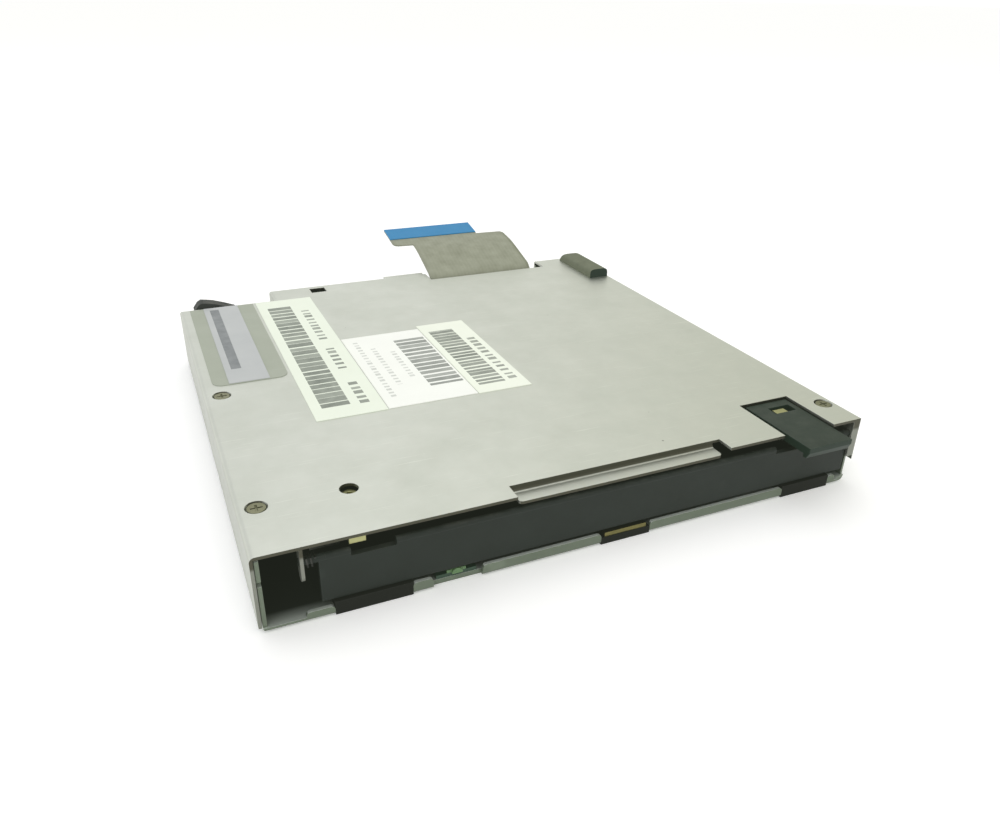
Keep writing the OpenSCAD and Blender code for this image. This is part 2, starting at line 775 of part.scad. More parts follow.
module flat_cable() {
    far = back_y + 40;
    flare_back = jog_y + jog_overlap;
    color([0.56, 0.57, 0.49]) intersection() {
        side_view(strip(cable_line(), -cable_t / 2, cable_t / 2), tail_left, cable_right);
        union() {
            block([cable_left, socket_back_y - over, 0],
                [cable_right, cable_rise_y + cable_t, flare_z + over]);
            translate([0, 0, flare_z]) linear_extrude(40)
                polygon([[flare_left, cable_rise_y - cable_t], [flare_left, flare_back],
                    [cable_right - cable_lean, flare_back], [cable_right, back_y - 3],
                    [cable_right, cable_rise_y - cable_t]]);
            block([tail_left, jog_y, 0], [tail_left + tail_w, far, 40]);
        }
    }
}

module cable_stiffener() {
    line = cable_line();
    tip = line[len(line) - 1];
    along = [cos(tail_slope), sin(tail_slope)];
    color([0.23, 0.55, 0.8])
        side_view(strip([tip - stiffener_len * along, tip], cable_t / 2, cable_t / 2 + stiffener_t),
            tail_left, tail_left + tail_w);
}

module cable_socket() {
    wall = 0.8;
    color([0.85, 0.83, 0.76]) difference() {
        block([cable_left - wall, socket_back_y - 4.2, board_top],
            [cable_right + wall, socket_back_y, cable_low_z + 1.1]);
        block([cable_left - 0.2, socket_back_y - 2.4, cable_low_z + 0.2],
            [cable_right + 0.2, socket_back_y + over, cable_low_z + 0.6]);
    }
}

// Boards
module main_board() {
    color([0.2, 0.4, 0.25]) difference() {
        union() {
            block([board_left, board_front_y, board_z], [board_right, board_back_y, board_top]);
            block([board_ext_left, board_ext_y, board_z], [board_left + over, board_back_y, board_top]);
        }
        for (p = standoffs) rod_along_z(p[0], p[1], 0.9, board_z - over, board_top + over);
    }
}

// Chips on the main board: [middle as shares of its width and length, width, length, height]
chips = [[0.5, 0.34, 10, 10, 1.2], [0.82, 0.3, 6, 5, 1], [0.82, 0.48, 5, 4, 1], [0.2, 0.34, 4, 4, 1],
    [0.4, 0.56, 3, 1.6, 0.8], [0.58, 0.56, 3, 1.6, 0.8], [0.74, 0.63, 3.2, 1.6, 1.1]];

module board_chips() {
    color([0.13, 0.13, 0.14]) for (c = chips)
        translate([board_left + c[0] * (board_right - board_left) - c[2] / 2,
            board_front_y + c[1] * (board_back_y - board_front_y) - c[3] / 2, board_top])
            cube([c[2], c[3], c[4]]);
}

module board_screws() {
    color([0.75, 0.75, 0.72]) for (p = standoffs)
        screw(p[0], p[1], board_top, 1.5, 0.8, 0.6, board_top - 0.2);
}

module lamp_board() {
    color([0.2, 0.4, 0.25])
        block([lip_gaps[1][0] + gap_edge, front_y + gap_d + play, pan_t],
            [lip_gaps[1][1] - gap_edge, front_y + 9, pan_t + 0.6]);
}

module lamp() {
    x = (lip_gaps[1][0] + lip_gaps[1][1]) / 2;
    color([0.3, 0.55, 0.25]) union() {
        block([x - 1.5, front_y + gap_d + play, pan_t + 0.6], [x + 1.5, front_y + 2.8, pan_t + 1.1]);
        intersection() {
            rod_along_y(x, pan_t + 0.6, 0.85, front_y + 0.5, front_y + 2.6);
            block([x - 1.2, front_y, pan_t + 0.6], [x + 1.2, front_y + 3, pan_t + 3]);
        }
    }
}

// A moulding that hooks over the pan's edge in a gap of the front lip
module lip_filler(gap, top) {
    nose_y = front_y + seat_gap;
    edge_y = front_y + gap_d - seat_gap;
    side_view([[nose_y, seat_gap], [edge_y, seat_gap], [edge_y, pan_t],
        [front_y + gap_d + sensor_d, pan_t], [front_y + gap_d + sensor_d, top], [nose_y, top]],
        gap[0] + seat_gap, gap[1] - seat_gap);
}

module front_sensor(gap) {
    mid = (gap[0] + gap[1]) / 2;
    top = pan_t + sensor_h;
    difference() {
        lip_filler(gap, top);
        for (x = [mid - 1.4, mid + 1.4])
            rod_along_z(x, front_y + gap_d + sensor_d / 2, 0.7, top - 0.5, top + over);
    }
}

module protect_sensor() {
    color([0.2, 0.17, 0.13]) front_sensor(lip_gaps[0]);
}

module density_sensor() {
    color([0.3, 0.24, 0.14]) front_sensor(lip_gaps[3]);
}

module leaf_seat() {
    color([0.22, 0.18, 0.13]) lip_filler(lip_gaps[2], pan_t + leaf_seat_h);
}

module front_leaf() {
    y = front_y + 0.15;
    z = pan_t + leaf_seat_h;
    color([0.6, 0.52, 0.3])
        side_view([[y, z], [y + 5, z], [y + 5, z + 0.25], [y + 1.6, z + 0.25], [y + 0.25, z + 0.75],
            [y, z + 0.75]], lip_gaps[2][0] + gap_edge, lip_gaps[2][1] - gap_edge);
}

// Spindle motor
module motor_board() {
    tongue_x = bay_x + 13;
    color([0.25, 0.3, 0.24]) difference() {
        union() {
            rod_along_z(bay_x, hub_y, motor_board_r, pan_t, pan_t + motor_board_t);
            block([tongue_x, hub_y, pan_t], [tongue_x + 9, motor_tongue_y, pan_t + motor_board_t]);
        }
        rod_along_z(bay_x, hub_y, 4.1, pan_t - over, pan_t + motor_board_t + over);
    }
}

module motor_flex() {
    y = motor_tongue_y - 3.1;
    low = pan_t + motor_board_t;
    line = [[y, low + 0.1], [y + 4, low + 0.1], [board_front_y - 1, board_top + 0.1],
        [board_front_y + 2, board_top + 0.1]];
    color([0.62, 0.45, 0.2]) side_view(strip(line, -0.08, 0.08), bay_x + 16.4, bay_x + 21.4);
}

module stator_coils() {
    z = pan_t + motor_board_t;
    color([0.65, 0.38, 0.2]) for (i = [0:5])
        translate([bay_x, hub_y, 0]) rotate(60 * i + 30) difference() {
            rod_along_z(coil_ring_r, 0, 5, z, z + coil_t);
            rod_along_z(coil_ring_r, 0, 2.4, z - over, z + coil_t + over);
        }
}

module spindle_bearing() {
    color([0.7, 0.6, 0.35]) difference() {
        rod_along_z(bay_x, hub_y, 3.9, pan_t, yoke_z - 0.1);
        rod_along_z(bay_x, hub_y, shaft_d / 2 + run_fit, pan_t + 0.4, yoke_z + over);
    }
}

module spindle_hub() {
    color([0.72, 0.72, 0.7]) union() {
        rod_along_z(bay_x, hub_y, hub_d / 2, hub_z, disk_low_z);
        rod_along_z(bay_x, hub_y, shaft_d / 2, pan_t + 0.5, disk_low_z + 0.8);
        translate([bay_x, hub_y, disk_low_z + 0.8])
            cylinder(h = 0.5, r1 = shaft_d / 2, r2 = shaft_d / 2 - 0.5);
    }
}

module drive_pin() {
    color([0.6, 0.6, 0.58]) rod_along_z(bay_x, hub_y + 10, 1.3, disk_low_z, disk_low_z + 0.8);
}

module rotor_yoke() {
    color([0.62, 0.62, 0.6]) difference() {
        rod_along_z(bay_x, hub_y, rotor_d / 2, yoke_z, hub_z);
        rod_along_z(bay_x, hub_y, 4.4, yoke_z - over, hub_z + over);
    }
}

module rotor_magnet() {
    color([0.2, 0.2, 0.21]) difference() {
        rod_along_z(bay_x, hub_y, rotor_d / 2 - 1, magnet_z, yoke_z);
        rod_along_z(bay_x, hub_y, 6, magnet_z - over, yoke_z + over);
    }
}

// Stepper motor, screw and rods
module stepper_can() {
    color([0.66, 0.66, 0.64]) difference() {
        intersection() {
            rod_along_y(screw_x, screw_z, can_w / 2, can_front_y, can_back_y);
            block([screw_x - can_w, can_front_y - over, screw_z - can_h / 2],
                [screw_x + can_w, can_back_y + over, screw_z + can_h / 2]);
        }
        rod_along_y(screw_x, screw_z, journal_r + run_fit, can_front_y - over, can_front_y + 4);
    }
}

module stepper_bracket() {
    half = 2.4;
    color([0.7, 0.7, 0.68]) difference() {
        union() {
            block([screw_x - half, screw_front_y, pan_t], [screw_x + half, can_front_y, pan_t + 0.5]);
            block([screw_x - half, screw_front_y, pan_t],
                [screw_x + half, screw_front_y + 1.4, screw_z + 1.1]);
            block([screw_x - half, can_front_y - bracket_t, pan_t],
                [screw_x + half, can_front_y, screw_z + can_h / 2]);
        }
        rod_along_y(screw_x, screw_z, journal_r + run_fit, screw_front_y - over, screw_front_y + 1.4 + over);
        rod_along_y(screw_x, screw_z, screw_d / 2 + 0.3, can_front_y - bracket_t - over, can_front_y + over);
    }
}

// Radius of the screw at a place along it and an angle round it. The groove faces the follower at rest
thread_mid = screw_d / 2 - thread_amp;
function thread_r(y, a) = thread_mid + thread_amp * cos(360 * (y - needle_y) / screw_lead - a - 90);

module lead_screw() {
    sides = 24;
    rows = 48;
    ys = [for (i = [0:rows]) thread_ys[0] + (thread_ys[1] - thread_ys[0]) * i / rows];
    points = [for (y = ys) for (k = [0:sides - 1]) let (a = 360 * k / sides, r = thread_r(y, a))
        [screw_x + r * sin(a), y, screw_z + r * cos(a)]];
    color([0.68, 0.68, 0.66]) union() {
        polyhedron(points, tube_faces(rows + 1, sides), convexity = 10);
        rod_along_y(screw_x, screw_z, journal_r, screw_front_y, can_front_y + 3);
    }
}

// Rod clamps: [x, first y, which way the screwed foot points, rod radius, half width]
clamp_l = 3;
clamp_top = pan_t + 2.8;
foot_l = 2.5;
foot_h = 1;
foot_screw_r = 0.5;
rear_clamp_y = post_back_y - 4.6;
clamps = [[rod_x, hub_y + motor_board_r + foot_l + play, -1, rod_d / 2, 1.65],
    [rod_x, rear_clamp_y, 1, rod_d / 2, 1.65],
    [side_rod_x, head_y - 12.7, -1, side_rod_r, 1.4], [side_rod_x, rear_clamp_y, 1, side_rod_r, 1.4]];
function foot_screw_y(c) = c[1] + clamp_l / 2 + c[2] * (clamp_l / 2 + foot_l / 2 + 0.1);

module guide_rods() {
    color([0.75, 0.75, 0.74]) for (i = [0, 2])
        rod_along_y(clamps[i][0], rod_z, clamps[i][3], clamps[i][1], clamps[i + 1][1] + clamp_l);
}

module rod_clamps() {
    color([0.16, 0.16, 0.17]) for (c = clamps) difference() {
        union() {
            block([c[0] - c[4], c[1], pan_t], [c[0] + c[4], c[1] + clamp_l, clamp_top]);
            block([c[0] - c[4], c[1] - (c[2] < 0 ? foot_l : 0), pan_t],
                [c[0] + c[4], c[1] + clamp_l + (c[2] > 0 ? foot_l : 0), pan_t + foot_h]);
        }
        rod_along_y(c[0], rod_z, c[3] + seat_gap, c[1] - over, c[1] + clamp_l + over);
        rod_along_z(c[0], foot_screw_y(c), foot_screw_r + seat_gap, pan_t - over, pan_t + foot_h + over);
    }
}

module clamp_screws() {
    color([0.75, 0.75, 0.72]) for (c = clamps)
        screw(c[0], foot_screw_y(c), pan_t + foot_h, 1, 0.5, foot_screw_r, foot_h + pan_t - 0.2);
}

module zero_sensor() {
    x = bay_x + 6.6;
    y = boss_ys[0] - 1;
    color([0.15, 0.15, 0.16]) difference() {
        block([x, y, pan_t], [x + 4, y + 4, pan_t + 3]);
        block([x - over, y - over, pan_t + 1.3], [x + 2.4, y + 4 + over, pan_t + 2.3]);
    }
}

// Door
module front_door() {
    notches = [[4.5 - door_half, 11 - door_half], [door_half - 14.3, door_half - 8.4]];
    half_t = door_t / 2;
    color([0.19, 0.2, 0.18]) union() {
        difference() {
            union() {
                block([bay_x - door_half, hinge_y - half_t, door_bottom],
                    [door_right, hinge_y + half_t, hinge_z]);
                rod_along_x(hinge_y, hinge_z, barrel_r, bay_x - door_half, door_right);
            }
            for (n = notches)
                block([bay_x + n[0], hinge_y - over, hinge_z - 0.6],
                    [bay_x + n[1], hinge_y + over, hinge_z + over]);
        }
        rod_along_x(hinge_y, hinge_z, door_pin_d / 2, bay_x - ear_out - play, bay_x - door_half + over);
        rod_along_x(hinge_y, hinge_z, door_pin_d / 2, door_right - over, bay_x + ear_out + play);
    }
}

module door_spring() {
    color([0.7, 0.7, 0.7]) translate([bay_x - ear_in + 0.3, hinge_y, hinge_z]) rotate([0, 90, 0]) rotate(180)
        torsion_spring(door_pin_d / 2 + 0.35, 0.14, 2, 0.6, 1.2);
}

// Slide plate and button
module lift_slot(y) {
    r = pin_r + run_fit;
    x0 = bay_x - flange_out - over;
    x1 = bay_x + flange_out + over;
    rod_along_x(y, pin_z, r, x0, x1);
    rod_along_x(y + eject_travel, pin_z - disk_lift, r, x0, x1);
    translate([x0, y, pin_z]) rotate([-atan(disk_lift / eject_travel), 0, 0])
        translate([0, 0, -r]) cube([x1 - x0, norm([disk_lift, eject_travel]), 2 * r]);
}

module slide_plate() {
    tongue_x = bay_x - door_half + 4.5;
    strip_back_y = tab_y + tab_r + 1;
    hook_y = spring_front_y + spring_len + 0.3;
    color([0.66, 0.62, 0.42]) union() {
        difference() {
            union() {
                block([bay_x - flange_out, slide_front_y, slide_z],
                    [bay_x + flange_out, slide_back_y, slide_top]);
                block([bay_x + strip_dx, slide_front_y, slide_z],
                    [bay_x + flange_out, strip_back_y, slide_top]);
                for (x = [bay_x - flange_out, bay_x + flange_in])
                    block([x, flange_front_y, flange_z], [x + slide_t, slide_back_y + 1, slide_top]);
                block([button_left + 2, front_y - button_reach + 1.4, slide_z],
                    [button_right - 0.4, slide_front_y + over, slide_top]);
                block([tongue_x, front_y + 1.4, slide_z], [tongue_x + 2.4, slide_front_y + over, slide_top]);
                block([tongue_x, front_y + 1.4, slide_z],
                    [tongue_x + 2.4, front_y + 1.4 + slide_t, slide_top + 0.6]);
                block([window_x - 1.7, window_y - 0.9, slide_z],
                    [window_x + 0.7, window_y + 0.5, button_top - 0.2]);
                for (dx = [-spring_dx, spring_dx])
                    block([bay_x + dx - 0.6, hook_y, slide_z],
                        [bay_x + dx + 0.6, hook_y + 0.5, slide_top + 0.7]);
            }
            for (y = pin_ys) lift_slot(y);
            block([bay_x - 8, window_front_y, slide_z - over],
                [bay_x + strip_dx, slide_back_y + over, slide_top + over]);
            block([bay_x - strip_dx, window_front_y, slide_z - over],
                [bay_x - 12, slide_back_y - 6, slide_top + over]);
            for (dx = [-spring_dx, spring_dx])
                block([bay_x + dx - 1.6, spring_front_y - 2.5, slide_z - over],
                    [bay_x + dx + 1.6, hook_y, slide_top + 2 * over]);
            rod_along_z(bay_x, hub_y, 12, slide_z - over, slide_top + over);
        }
        rod_along_z(lever_px + tail_reach, tab_y, tab_r, slide_z, slide_top);
        block([lever_px + tail_reach, tab_y - play, slide_z],
            [bay_x + strip_dx + play, tab_y + tab_r, slide_top]);
    }
}

module eject_button() {
    tip_y = front_y - button_reach;
    back = front_y + notch_d - 0.4;
    front_h = 0.9;
    wall_y = tip_y + 1.3;
    color([0.27, 0.29, 0.26]) difference() {
        side_view([[tip_y, button_top], [tip_y, button_top - front_h], [tip_y + 0.6, slide_z],
            [wall_y, slide_z], [wall_y, slide_top], [back, slide_top], [back, button_top]],
            button_left, button_right);
        block([window_x - window_w / 2, window_y - window_l / 2, slide_top - over],
            [window_x + window_w / 2, window_y + window_l / 2, button_top + over]);
    }
}

module slide_rivet() {
    color([0.6, 0.58, 0.45]) difference() {
        rod_along_z(rivet_x, rivet_y, 1.1, slide_top, slide_top + 0.9);
        rod_along_z(rivet_x, rivet_y, 0.5, slide_top + 0.3, slide_top + 0.9 + over);
    }
}

module eject_springs() {
    coil_r = 0.8;
    turns = 12;
    z = (slide_z + slide_top) / 2 + 0.3;
    path = [for (i = [0:8 * turns])
        [coil_r * cos(45 * i), spring_len * i / (8 * turns), coil_r * sin(45 * i)]];
    color([0.72, 0.72, 0.72]) for (dx = [-spring_dx, spring_dx])
        translate([bay_x + dx, spring_front_y, z]) tube(path, 0.14, [0, 1, 0]);
}

// Disk holder and latch lever
module arc_slot(r, half, a0, a1) {
    rotate(a0) rotate_extrude(angle = a1 - a0) translate([r - half, holder_under - over])
        square([2 * half, holder_t + 2 * over]);
}

module disk_holder() {
    hook_y = spring_front_y - 0.3;
    rail_z = disk_up_z - play - holder_t;
    color([0.7, 0.7, 0.66]) difference() {
        union() {
            block([bay_x - holder_out, holder_front_y, holder_under],
                [bay_x + holder_out, holder_back_y, holder_top]);
            for (side = [-1, 1]) {
                x_wall = bay_x + (side < 0 ? -holder_out : holder_in);
                x_rail = bay_x + (side < 0 ? -holder_out : holder_out - holder_t - holder_rail);
                block([x_wall, holder_front_y, rail_z], [x_wall + holder_t, holder_back_y, holder_top]);
                block([x_rail, holder_front_y, rail_z],
                    [x_rail + holder_rail + holder_t, holder_back_y, rail_z + holder_t]);
                block([bay_x + side * spring_dx - 0.6, hook_y - 0.5, holder_under],
                    [bay_x + side * spring_dx + 0.6, hook_y, holder_top + 1.6]);
            }
        }
        block([bay_x - arm_half - 2, disk_back_y - 29, holder_under - over],
            [bay_x + arm_half + 2, holder_back_y + over, holder_top + over]);
        rod_along_z(bay_x, hub_y, 14, holder_under - over, holder_top + over);
        translate([lever_px, lever_py, 0])
            arc_slot(lever_r, shutter_r + 0.3, 180 + lever_rest + 2.5, 180 + lever_rest - lever_sweep);
    }
}

module holder_pins() {
    color([0.75, 0.75, 0.74]) for (y = pin_ys) {
        rod_along_x(y, pin_z, pin_r, bay_x - guide_out - play, bay_x - holder_out);
        rod_along_x(y, pin_z, pin_r, bay_x + holder_out, bay_x + guide_out + play);
    }
}

module lever_stud() {
    color([0.75, 0.75, 0.74]) union() {
        rod_along_z(lever_px, lever_py, 2.4, holder_top, lever_z - run_fit);
        rod_along_z(lever_px, lever_py, stud_r, holder_top, cover_under - 0.5);
        rod_along_z(lever_px, lever_py, 2.6, cover_under - 0.55, cover_under - 0.3);
    }
}

module lever_spring() {
    color([0.72, 0.72, 0.72]) translate([lever_px, lever_py, lever_z + lever_t + 0.2]) rotate(40)
        torsion_spring(stud_r + 0.4, 0.12, 1.75, 0.3, 4);
}

module latch_lever() {
    color([0.74, 0.74, 0.72]) translate([lever_px, lever_py, 0]) difference() {
        union() {
            rod_along_z(0, 0, 3.2, lever_z, lever_z + lever_t);
            rotate(180 + lever_rest) {
                block([0, -lever_half, lever_z], [lever_r, lever_half, lever_z + lever_t]);
                rod_along_z(lever_r, 0, lever_half, lever_z, lever_z + lever_t);
            }
            rotate(lever_sweep / 2)
                block([0, -tail_half, lever_z], [tail_reach + 2, tail_half, lever_z + lever_t]);
        }
        rod_along_z(0, 0, stud_r + run_fit, lever_z - over, lever_z + lever_t + over);
    }
}

module shutter_pin() {
    a = 180 + lever_rest;
    color([0.8, 0.8, 0.78])
        rod_along_z(lever_px + lever_r * cos(a), lever_py + lever_r * sin(a), shutter_r, lever_z - 2.7,
            lever_z);
}

// Head carriage
module head_carriage() {
    fork_left = side_rod_x - 1;
    column_z = clamp_top + 0.7;
    color([0.17, 0.17, 0.18]) difference() {
        union() {
            block([block_left, carriage_front_y, carriage_z], [block_right, post_back_y, carriage_top]);
            block([block_right - over, boss_ys[0], pan_t + 0.15],
                [rod_x + boss_half, boss_ys[1], disk_low_z - 0.15]);
            block([block_left, post_front_y, carriage_z], [block_right, post_back_y, column_z]);
            block([block_left, post_front_y, column_z - 0.1], [bay_x + 5, post_back_y, arm_z - 0.95]);
            for (x = [block_left, bay_x + 4.2])
                block([x, arm_y - 0.95, arm_z - 1], [x + 0.8, arm_y + 0.95, arm_z + 0.85]);
            for (z = [rod_z - side_rod_r - run_fit - fork_t, rod_z + side_rod_r + run_fit])
                block([fork_left, fork_ys[0], z], [block_left + over, fork_ys[1], z + fork_t]);
            block([rod_x + boss_half - 0.1, boss_ys[0] + 0.5, pan_t + 1.6],
                [bay_x + 8.4, boss_ys[0] + 1.6, pan_t + 2]);
        }
        rod_along_y(rod_x, rod_z, rod_d / 2 + run_fit, boss_ys[0] - over, boss_ys[1] + over);
        rod_along_x(arm_y, arm_z, arm_pin_r + seat_gap, block_left - over, bay_x + 5 + over);
    }
}

module lower_head() {
    color([0.85, 0.84, 0.8])
        block([bay_x - head_w / 2, head_y - head_l / 2, carriage_top],
            [bay_x + head_w / 2, head_y + head_l / 2, medium_z]);
}

module screw_follower() {
    fork_top = rod_z + side_rod_r + run_fit;
    leg_x = screw_x + screw_d / 2 + 0.7;
    color([0.6, 0.5, 0.3]) union() {
        block([leg_x, needle_y - 0.6, fork_top], [side_rod_x - 1, needle_y + 0.6, fork_top + fork_t]);
        block([leg_x, needle_y - 0.6, screw_z - 0.6], [leg_x + 0.7, needle_y + 0.6, fork_top + fork_t]);
        rod_along_x(needle_y, screw_z, needle_r, screw_x + screw_d / 2 - 2 * thread_amp + 0.08, leg_x + 0.3);
    }
}

module arm_pin() {
    color([0.75, 0.75, 0.74]) rod_along_x(arm_y, arm_z, arm_pin_r, block_left - 0.2, bay_x + 6.6);
}

module head_flex() {
    w = 3;
    line = [[-1, carriage_top + 0.1], [block_right - bay_x, carriage_top + 0.1], [5, carriage_top + 0.3],
        [9, board_top + 0.6], [board_left - bay_x + 1.5, board_top + 0.1]];
    color([0.62, 0.45, 0.2]) translate([bay_x, carriage_front_y + 0.2 + w, 0]) rotate([90, 0, 0])
        linear_extrude(w) polygon(strip(line, -0.07, 0.07));
}

module head_spring() {
    color([0.72, 0.72, 0.72]) translate([bay_x + 5.25, arm_y, arm_z]) rotate([0, 90, 0]) rotate(180)
        torsion_spring(arm_pin_r + 0.3, 0.12, 1.75, 0.5, 1);
}

// The arm is drawn level, as it lies on a loaded disk, and turned up to its rest
module arm_at_rest() {
    translate([0, arm_y, arm_z]) rotate([-arm_lift, 0, 0]) translate([0, -arm_y, -arm_z]) children();
}

module upper_arm() {
    low = arm_z - 0.1;
    color([0.7, 0.7, 0.68]) arm_at_rest() difference() {
        union() {
            block([bay_x - arm_half, head_y - 2.4, low], [bay_x + arm_half, arm_y, low + arm_t]);
            rod_along_x(arm_y, arm_z, 0.9, bay_x - arm_half + 0.1, bay_x + arm_half - 0.1);
        }
        rod_along_x(arm_y, arm_z, arm_pin_r + run_fit, bay_x - arm_half - over, bay_x + arm_half + over);
        block([bay_x - 1.6, head_y + 4, low - over], [bay_x + 1.6, arm_y - 4, low + arm_t + over]);
    }
}

module upper_head() {
    color([0.85, 0.84, 0.8]) arm_at_rest()
        block([bay_x - head_w / 2, head_y - head_l / 2, medium_z + play],
            [bay_x + head_w / 2, head_y + head_l / 2, arm_z - 0.1]);
}

cover();
pan();
cover_screws();
long_label();
wide_label();
narrow_label();
tape_pad();
liner_strip();
bumper();
rear_buffer();
flat_cable();
cable_stiffener();
cable_socket();
main_board();
board_chips();
board_screws();
lamp_board();
lamp();
protect_sensor();
density_sensor();
leaf_seat();
front_leaf();
motor_board();
motor_flex();
stator_coils();
spindle_bearing();
stepper_can();
stepper_bracket();
guide_rods();
rod_clamps();
clamp_screws();
zero_sensor();
front_door();
door_spring();
slide_plate();
eject_button();
slide_rivet();
eject_springs();
disk_holder();
holder_pins();
lever_stud();
lever_spring();
latch_lever();
shutter_pin();
spindle_hub();
drive_pin();
rotor_yoke();
rotor_magnet();
head_carriage();
lower_head();
screw_follower();
arm_pin();
head_flex();
head_spring();
upper_arm();
upper_head();
lead_screw();
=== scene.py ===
"""Slim floppy disk drive without its bezel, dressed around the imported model, in metres."""

import json
import math

import bmesh
import bpy
from mathutils import Matrix, Vector


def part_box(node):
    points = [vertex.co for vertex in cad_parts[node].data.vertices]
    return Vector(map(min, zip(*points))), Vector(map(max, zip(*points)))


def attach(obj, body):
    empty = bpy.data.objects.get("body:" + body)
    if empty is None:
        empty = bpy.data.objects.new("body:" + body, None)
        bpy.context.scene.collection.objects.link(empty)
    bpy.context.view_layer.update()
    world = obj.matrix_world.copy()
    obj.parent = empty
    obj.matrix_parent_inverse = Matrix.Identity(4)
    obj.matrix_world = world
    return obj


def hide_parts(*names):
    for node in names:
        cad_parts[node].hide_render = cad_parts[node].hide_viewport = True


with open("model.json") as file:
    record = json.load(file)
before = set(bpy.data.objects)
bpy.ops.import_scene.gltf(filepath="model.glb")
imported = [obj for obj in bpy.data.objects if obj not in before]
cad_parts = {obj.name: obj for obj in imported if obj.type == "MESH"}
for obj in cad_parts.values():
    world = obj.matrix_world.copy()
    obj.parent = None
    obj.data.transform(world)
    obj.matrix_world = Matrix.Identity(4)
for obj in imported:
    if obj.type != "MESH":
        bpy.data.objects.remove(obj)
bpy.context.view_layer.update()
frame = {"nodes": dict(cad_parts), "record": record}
nodes = frame["nodes"]
scene = bpy.context.scene
mm = 0.001


# Small helpers

def screen(red, green, blue):
    """A colour given in screen values from 0 to 255, as a shader's linear colour."""
    def linear(value):
        share = value / 255
        return share / 12.92 if share <= 0.04045 else ((share + 0.055) / 1.055) ** 2.4

    return (linear(red), linear(green), linear(blue), 1.0)


class Net:
    """A shader node tree with short calls to add nodes and join them."""

    def __init__(self, tree):
        self.tree = tree

    def feed(self, socket, value):
        if isinstance(value, bpy.types.NodeSocket):
            self.tree.links.new(value, socket)
        else:
            socket.default_value = value

    def add(self, kind, inputs=None, **settings):
        node = self.tree.nodes.new("ShaderNode" + kind)
        for name, value in settings.items():
            setattr(node, name, value)
        for key, value in (inputs or {}).items():
            self.feed(node.inputs[key], value)
        return node

    def math(self, operation, a, b=0.0, clamp=False):
        return self.add("Math", {0: a, 1: b}, operation=operation, use_clamp=clamp).outputs[0]

    def product(self, *values):
        total = values[0]
        for value in values[1:]:
            total = self.math("MULTIPLY", total, value)
        return total

    def spread(self, value, low, high, to_low=0.0, to_high=1.0):
        node = self.add("MapRange", {0: value, 1: low, 2: high, 3: to_low, 4: to_high})
        return node.outputs[0]

    def mix(self, mask, under, over):
        node = self.add("Mix", data_type="RGBA")
        self.feed(node.inputs[0], mask)
        self.feed(node.inputs[6], under)
        self.feed(node.inputs[7], over)
        return node.outputs[2]

    def place(self):
        return self.add("TexCoord").outputs["Object"]

    def use(self, group, **inputs):
        node = self.add("Group", node_tree=group)
        for name, value in inputs.items():
            self.feed(node.inputs[name.replace("_", " ").capitalize()], value)
        return node.outputs


def new_group(name, inputs, outputs):
    """An empty shader node group: its net, its inputs' sockets and its output node."""
    tree = bpy.data.node_groups.new(name, "ShaderNodeTree")
    for label, default in inputs.items():
        socket = tree.interface.new_socket(label, in_out="INPUT", socket_type="NodeSocketFloat")
        socket.default_value = default
    for label, kind in outputs.items():
        tree.interface.new_socket(label, in_out="OUTPUT", socket_type="NodeSocket" + kind)
    entry = tree.nodes.new("NodeGroupInput")
    leave = tree.nodes.new("NodeGroupOutput")
    return Net(tree), entry.outputs, leave.inputs


# Effects that several finishes share

def make_mottle():
    """Cloudy change of tone, as on plated sheet or aged plastic."""
    net, given, out = new_group("mottle", {"Size": 6.0, "Contrast": 1.0}, {"Tone": "Float"})
    scale = net.math("DIVIDE", 1 / mm, given["Size"])
    cloud = net.add("TexNoise", {"Vector": net.place(), "Scale": scale, "Detail": 5.0,
                                 "Roughness": 0.6})
    centred = net.math("SUBTRACT", cloud.outputs[0], 0.5)
    tone = net.math("MULTIPLY", centred, given["Contrast"])
    net.feed(out["Tone"], net.math("ADD", tone, 0.5, clamp=True))
    return net.tree


def make_grain():
    """Fine surface grain as a height, from a matt moulding or a rolled sheet."""
    net, given, out = new_group("grain", {"Size": 0.25, "Stretch": 1.0}, {"Height": "Float"})
    scale = net.math("DIVIDE", 1 / mm, given["Size"])
    stretch = net.add("CombineXYZ", {0: 1.0, 1: given["Stretch"], 2: 1.0})
    drawn = net.add("VectorMath", {0: net.place(), 1: stretch.outputs[0]}, operation="MULTIPLY")
    noise = net.add("TexNoise", {"Vector": drawn.outputs[0], "Scale": scale, "Detail": 3.0})
    net.feed(out["Height"], noise.outputs[0])
    return net.tree


def make_handling():
    """Thin rubbed scratches in two directions."""
    net, given, out = new_group("handling", {"Length": 9.0, "Amount": 0.4}, {"Rub": "Float"})
    scale = net.math("DIVIDE", 1 / mm, given["Length"])
    marks = []
    for angle in (0.5, -0.9):
        turned = net.add("Mapping", {"Vector": net.place(), "Rotation": (0, 0, angle),
                                     "Scale": (1, 34, 1)})
        noise = net.add("TexNoise", {"Vector": turned.outputs[0], "Scale": scale, "Detail": 2.0})
        marks.append(net.spread(noise.outputs[0], 0.68, 0.74))
    rub = net.math("MAXIMUM", marks[0], marks[1])
    net.feed(out["Rub"], net.math("MULTIPLY", rub, given["Amount"]))
    return net.tree


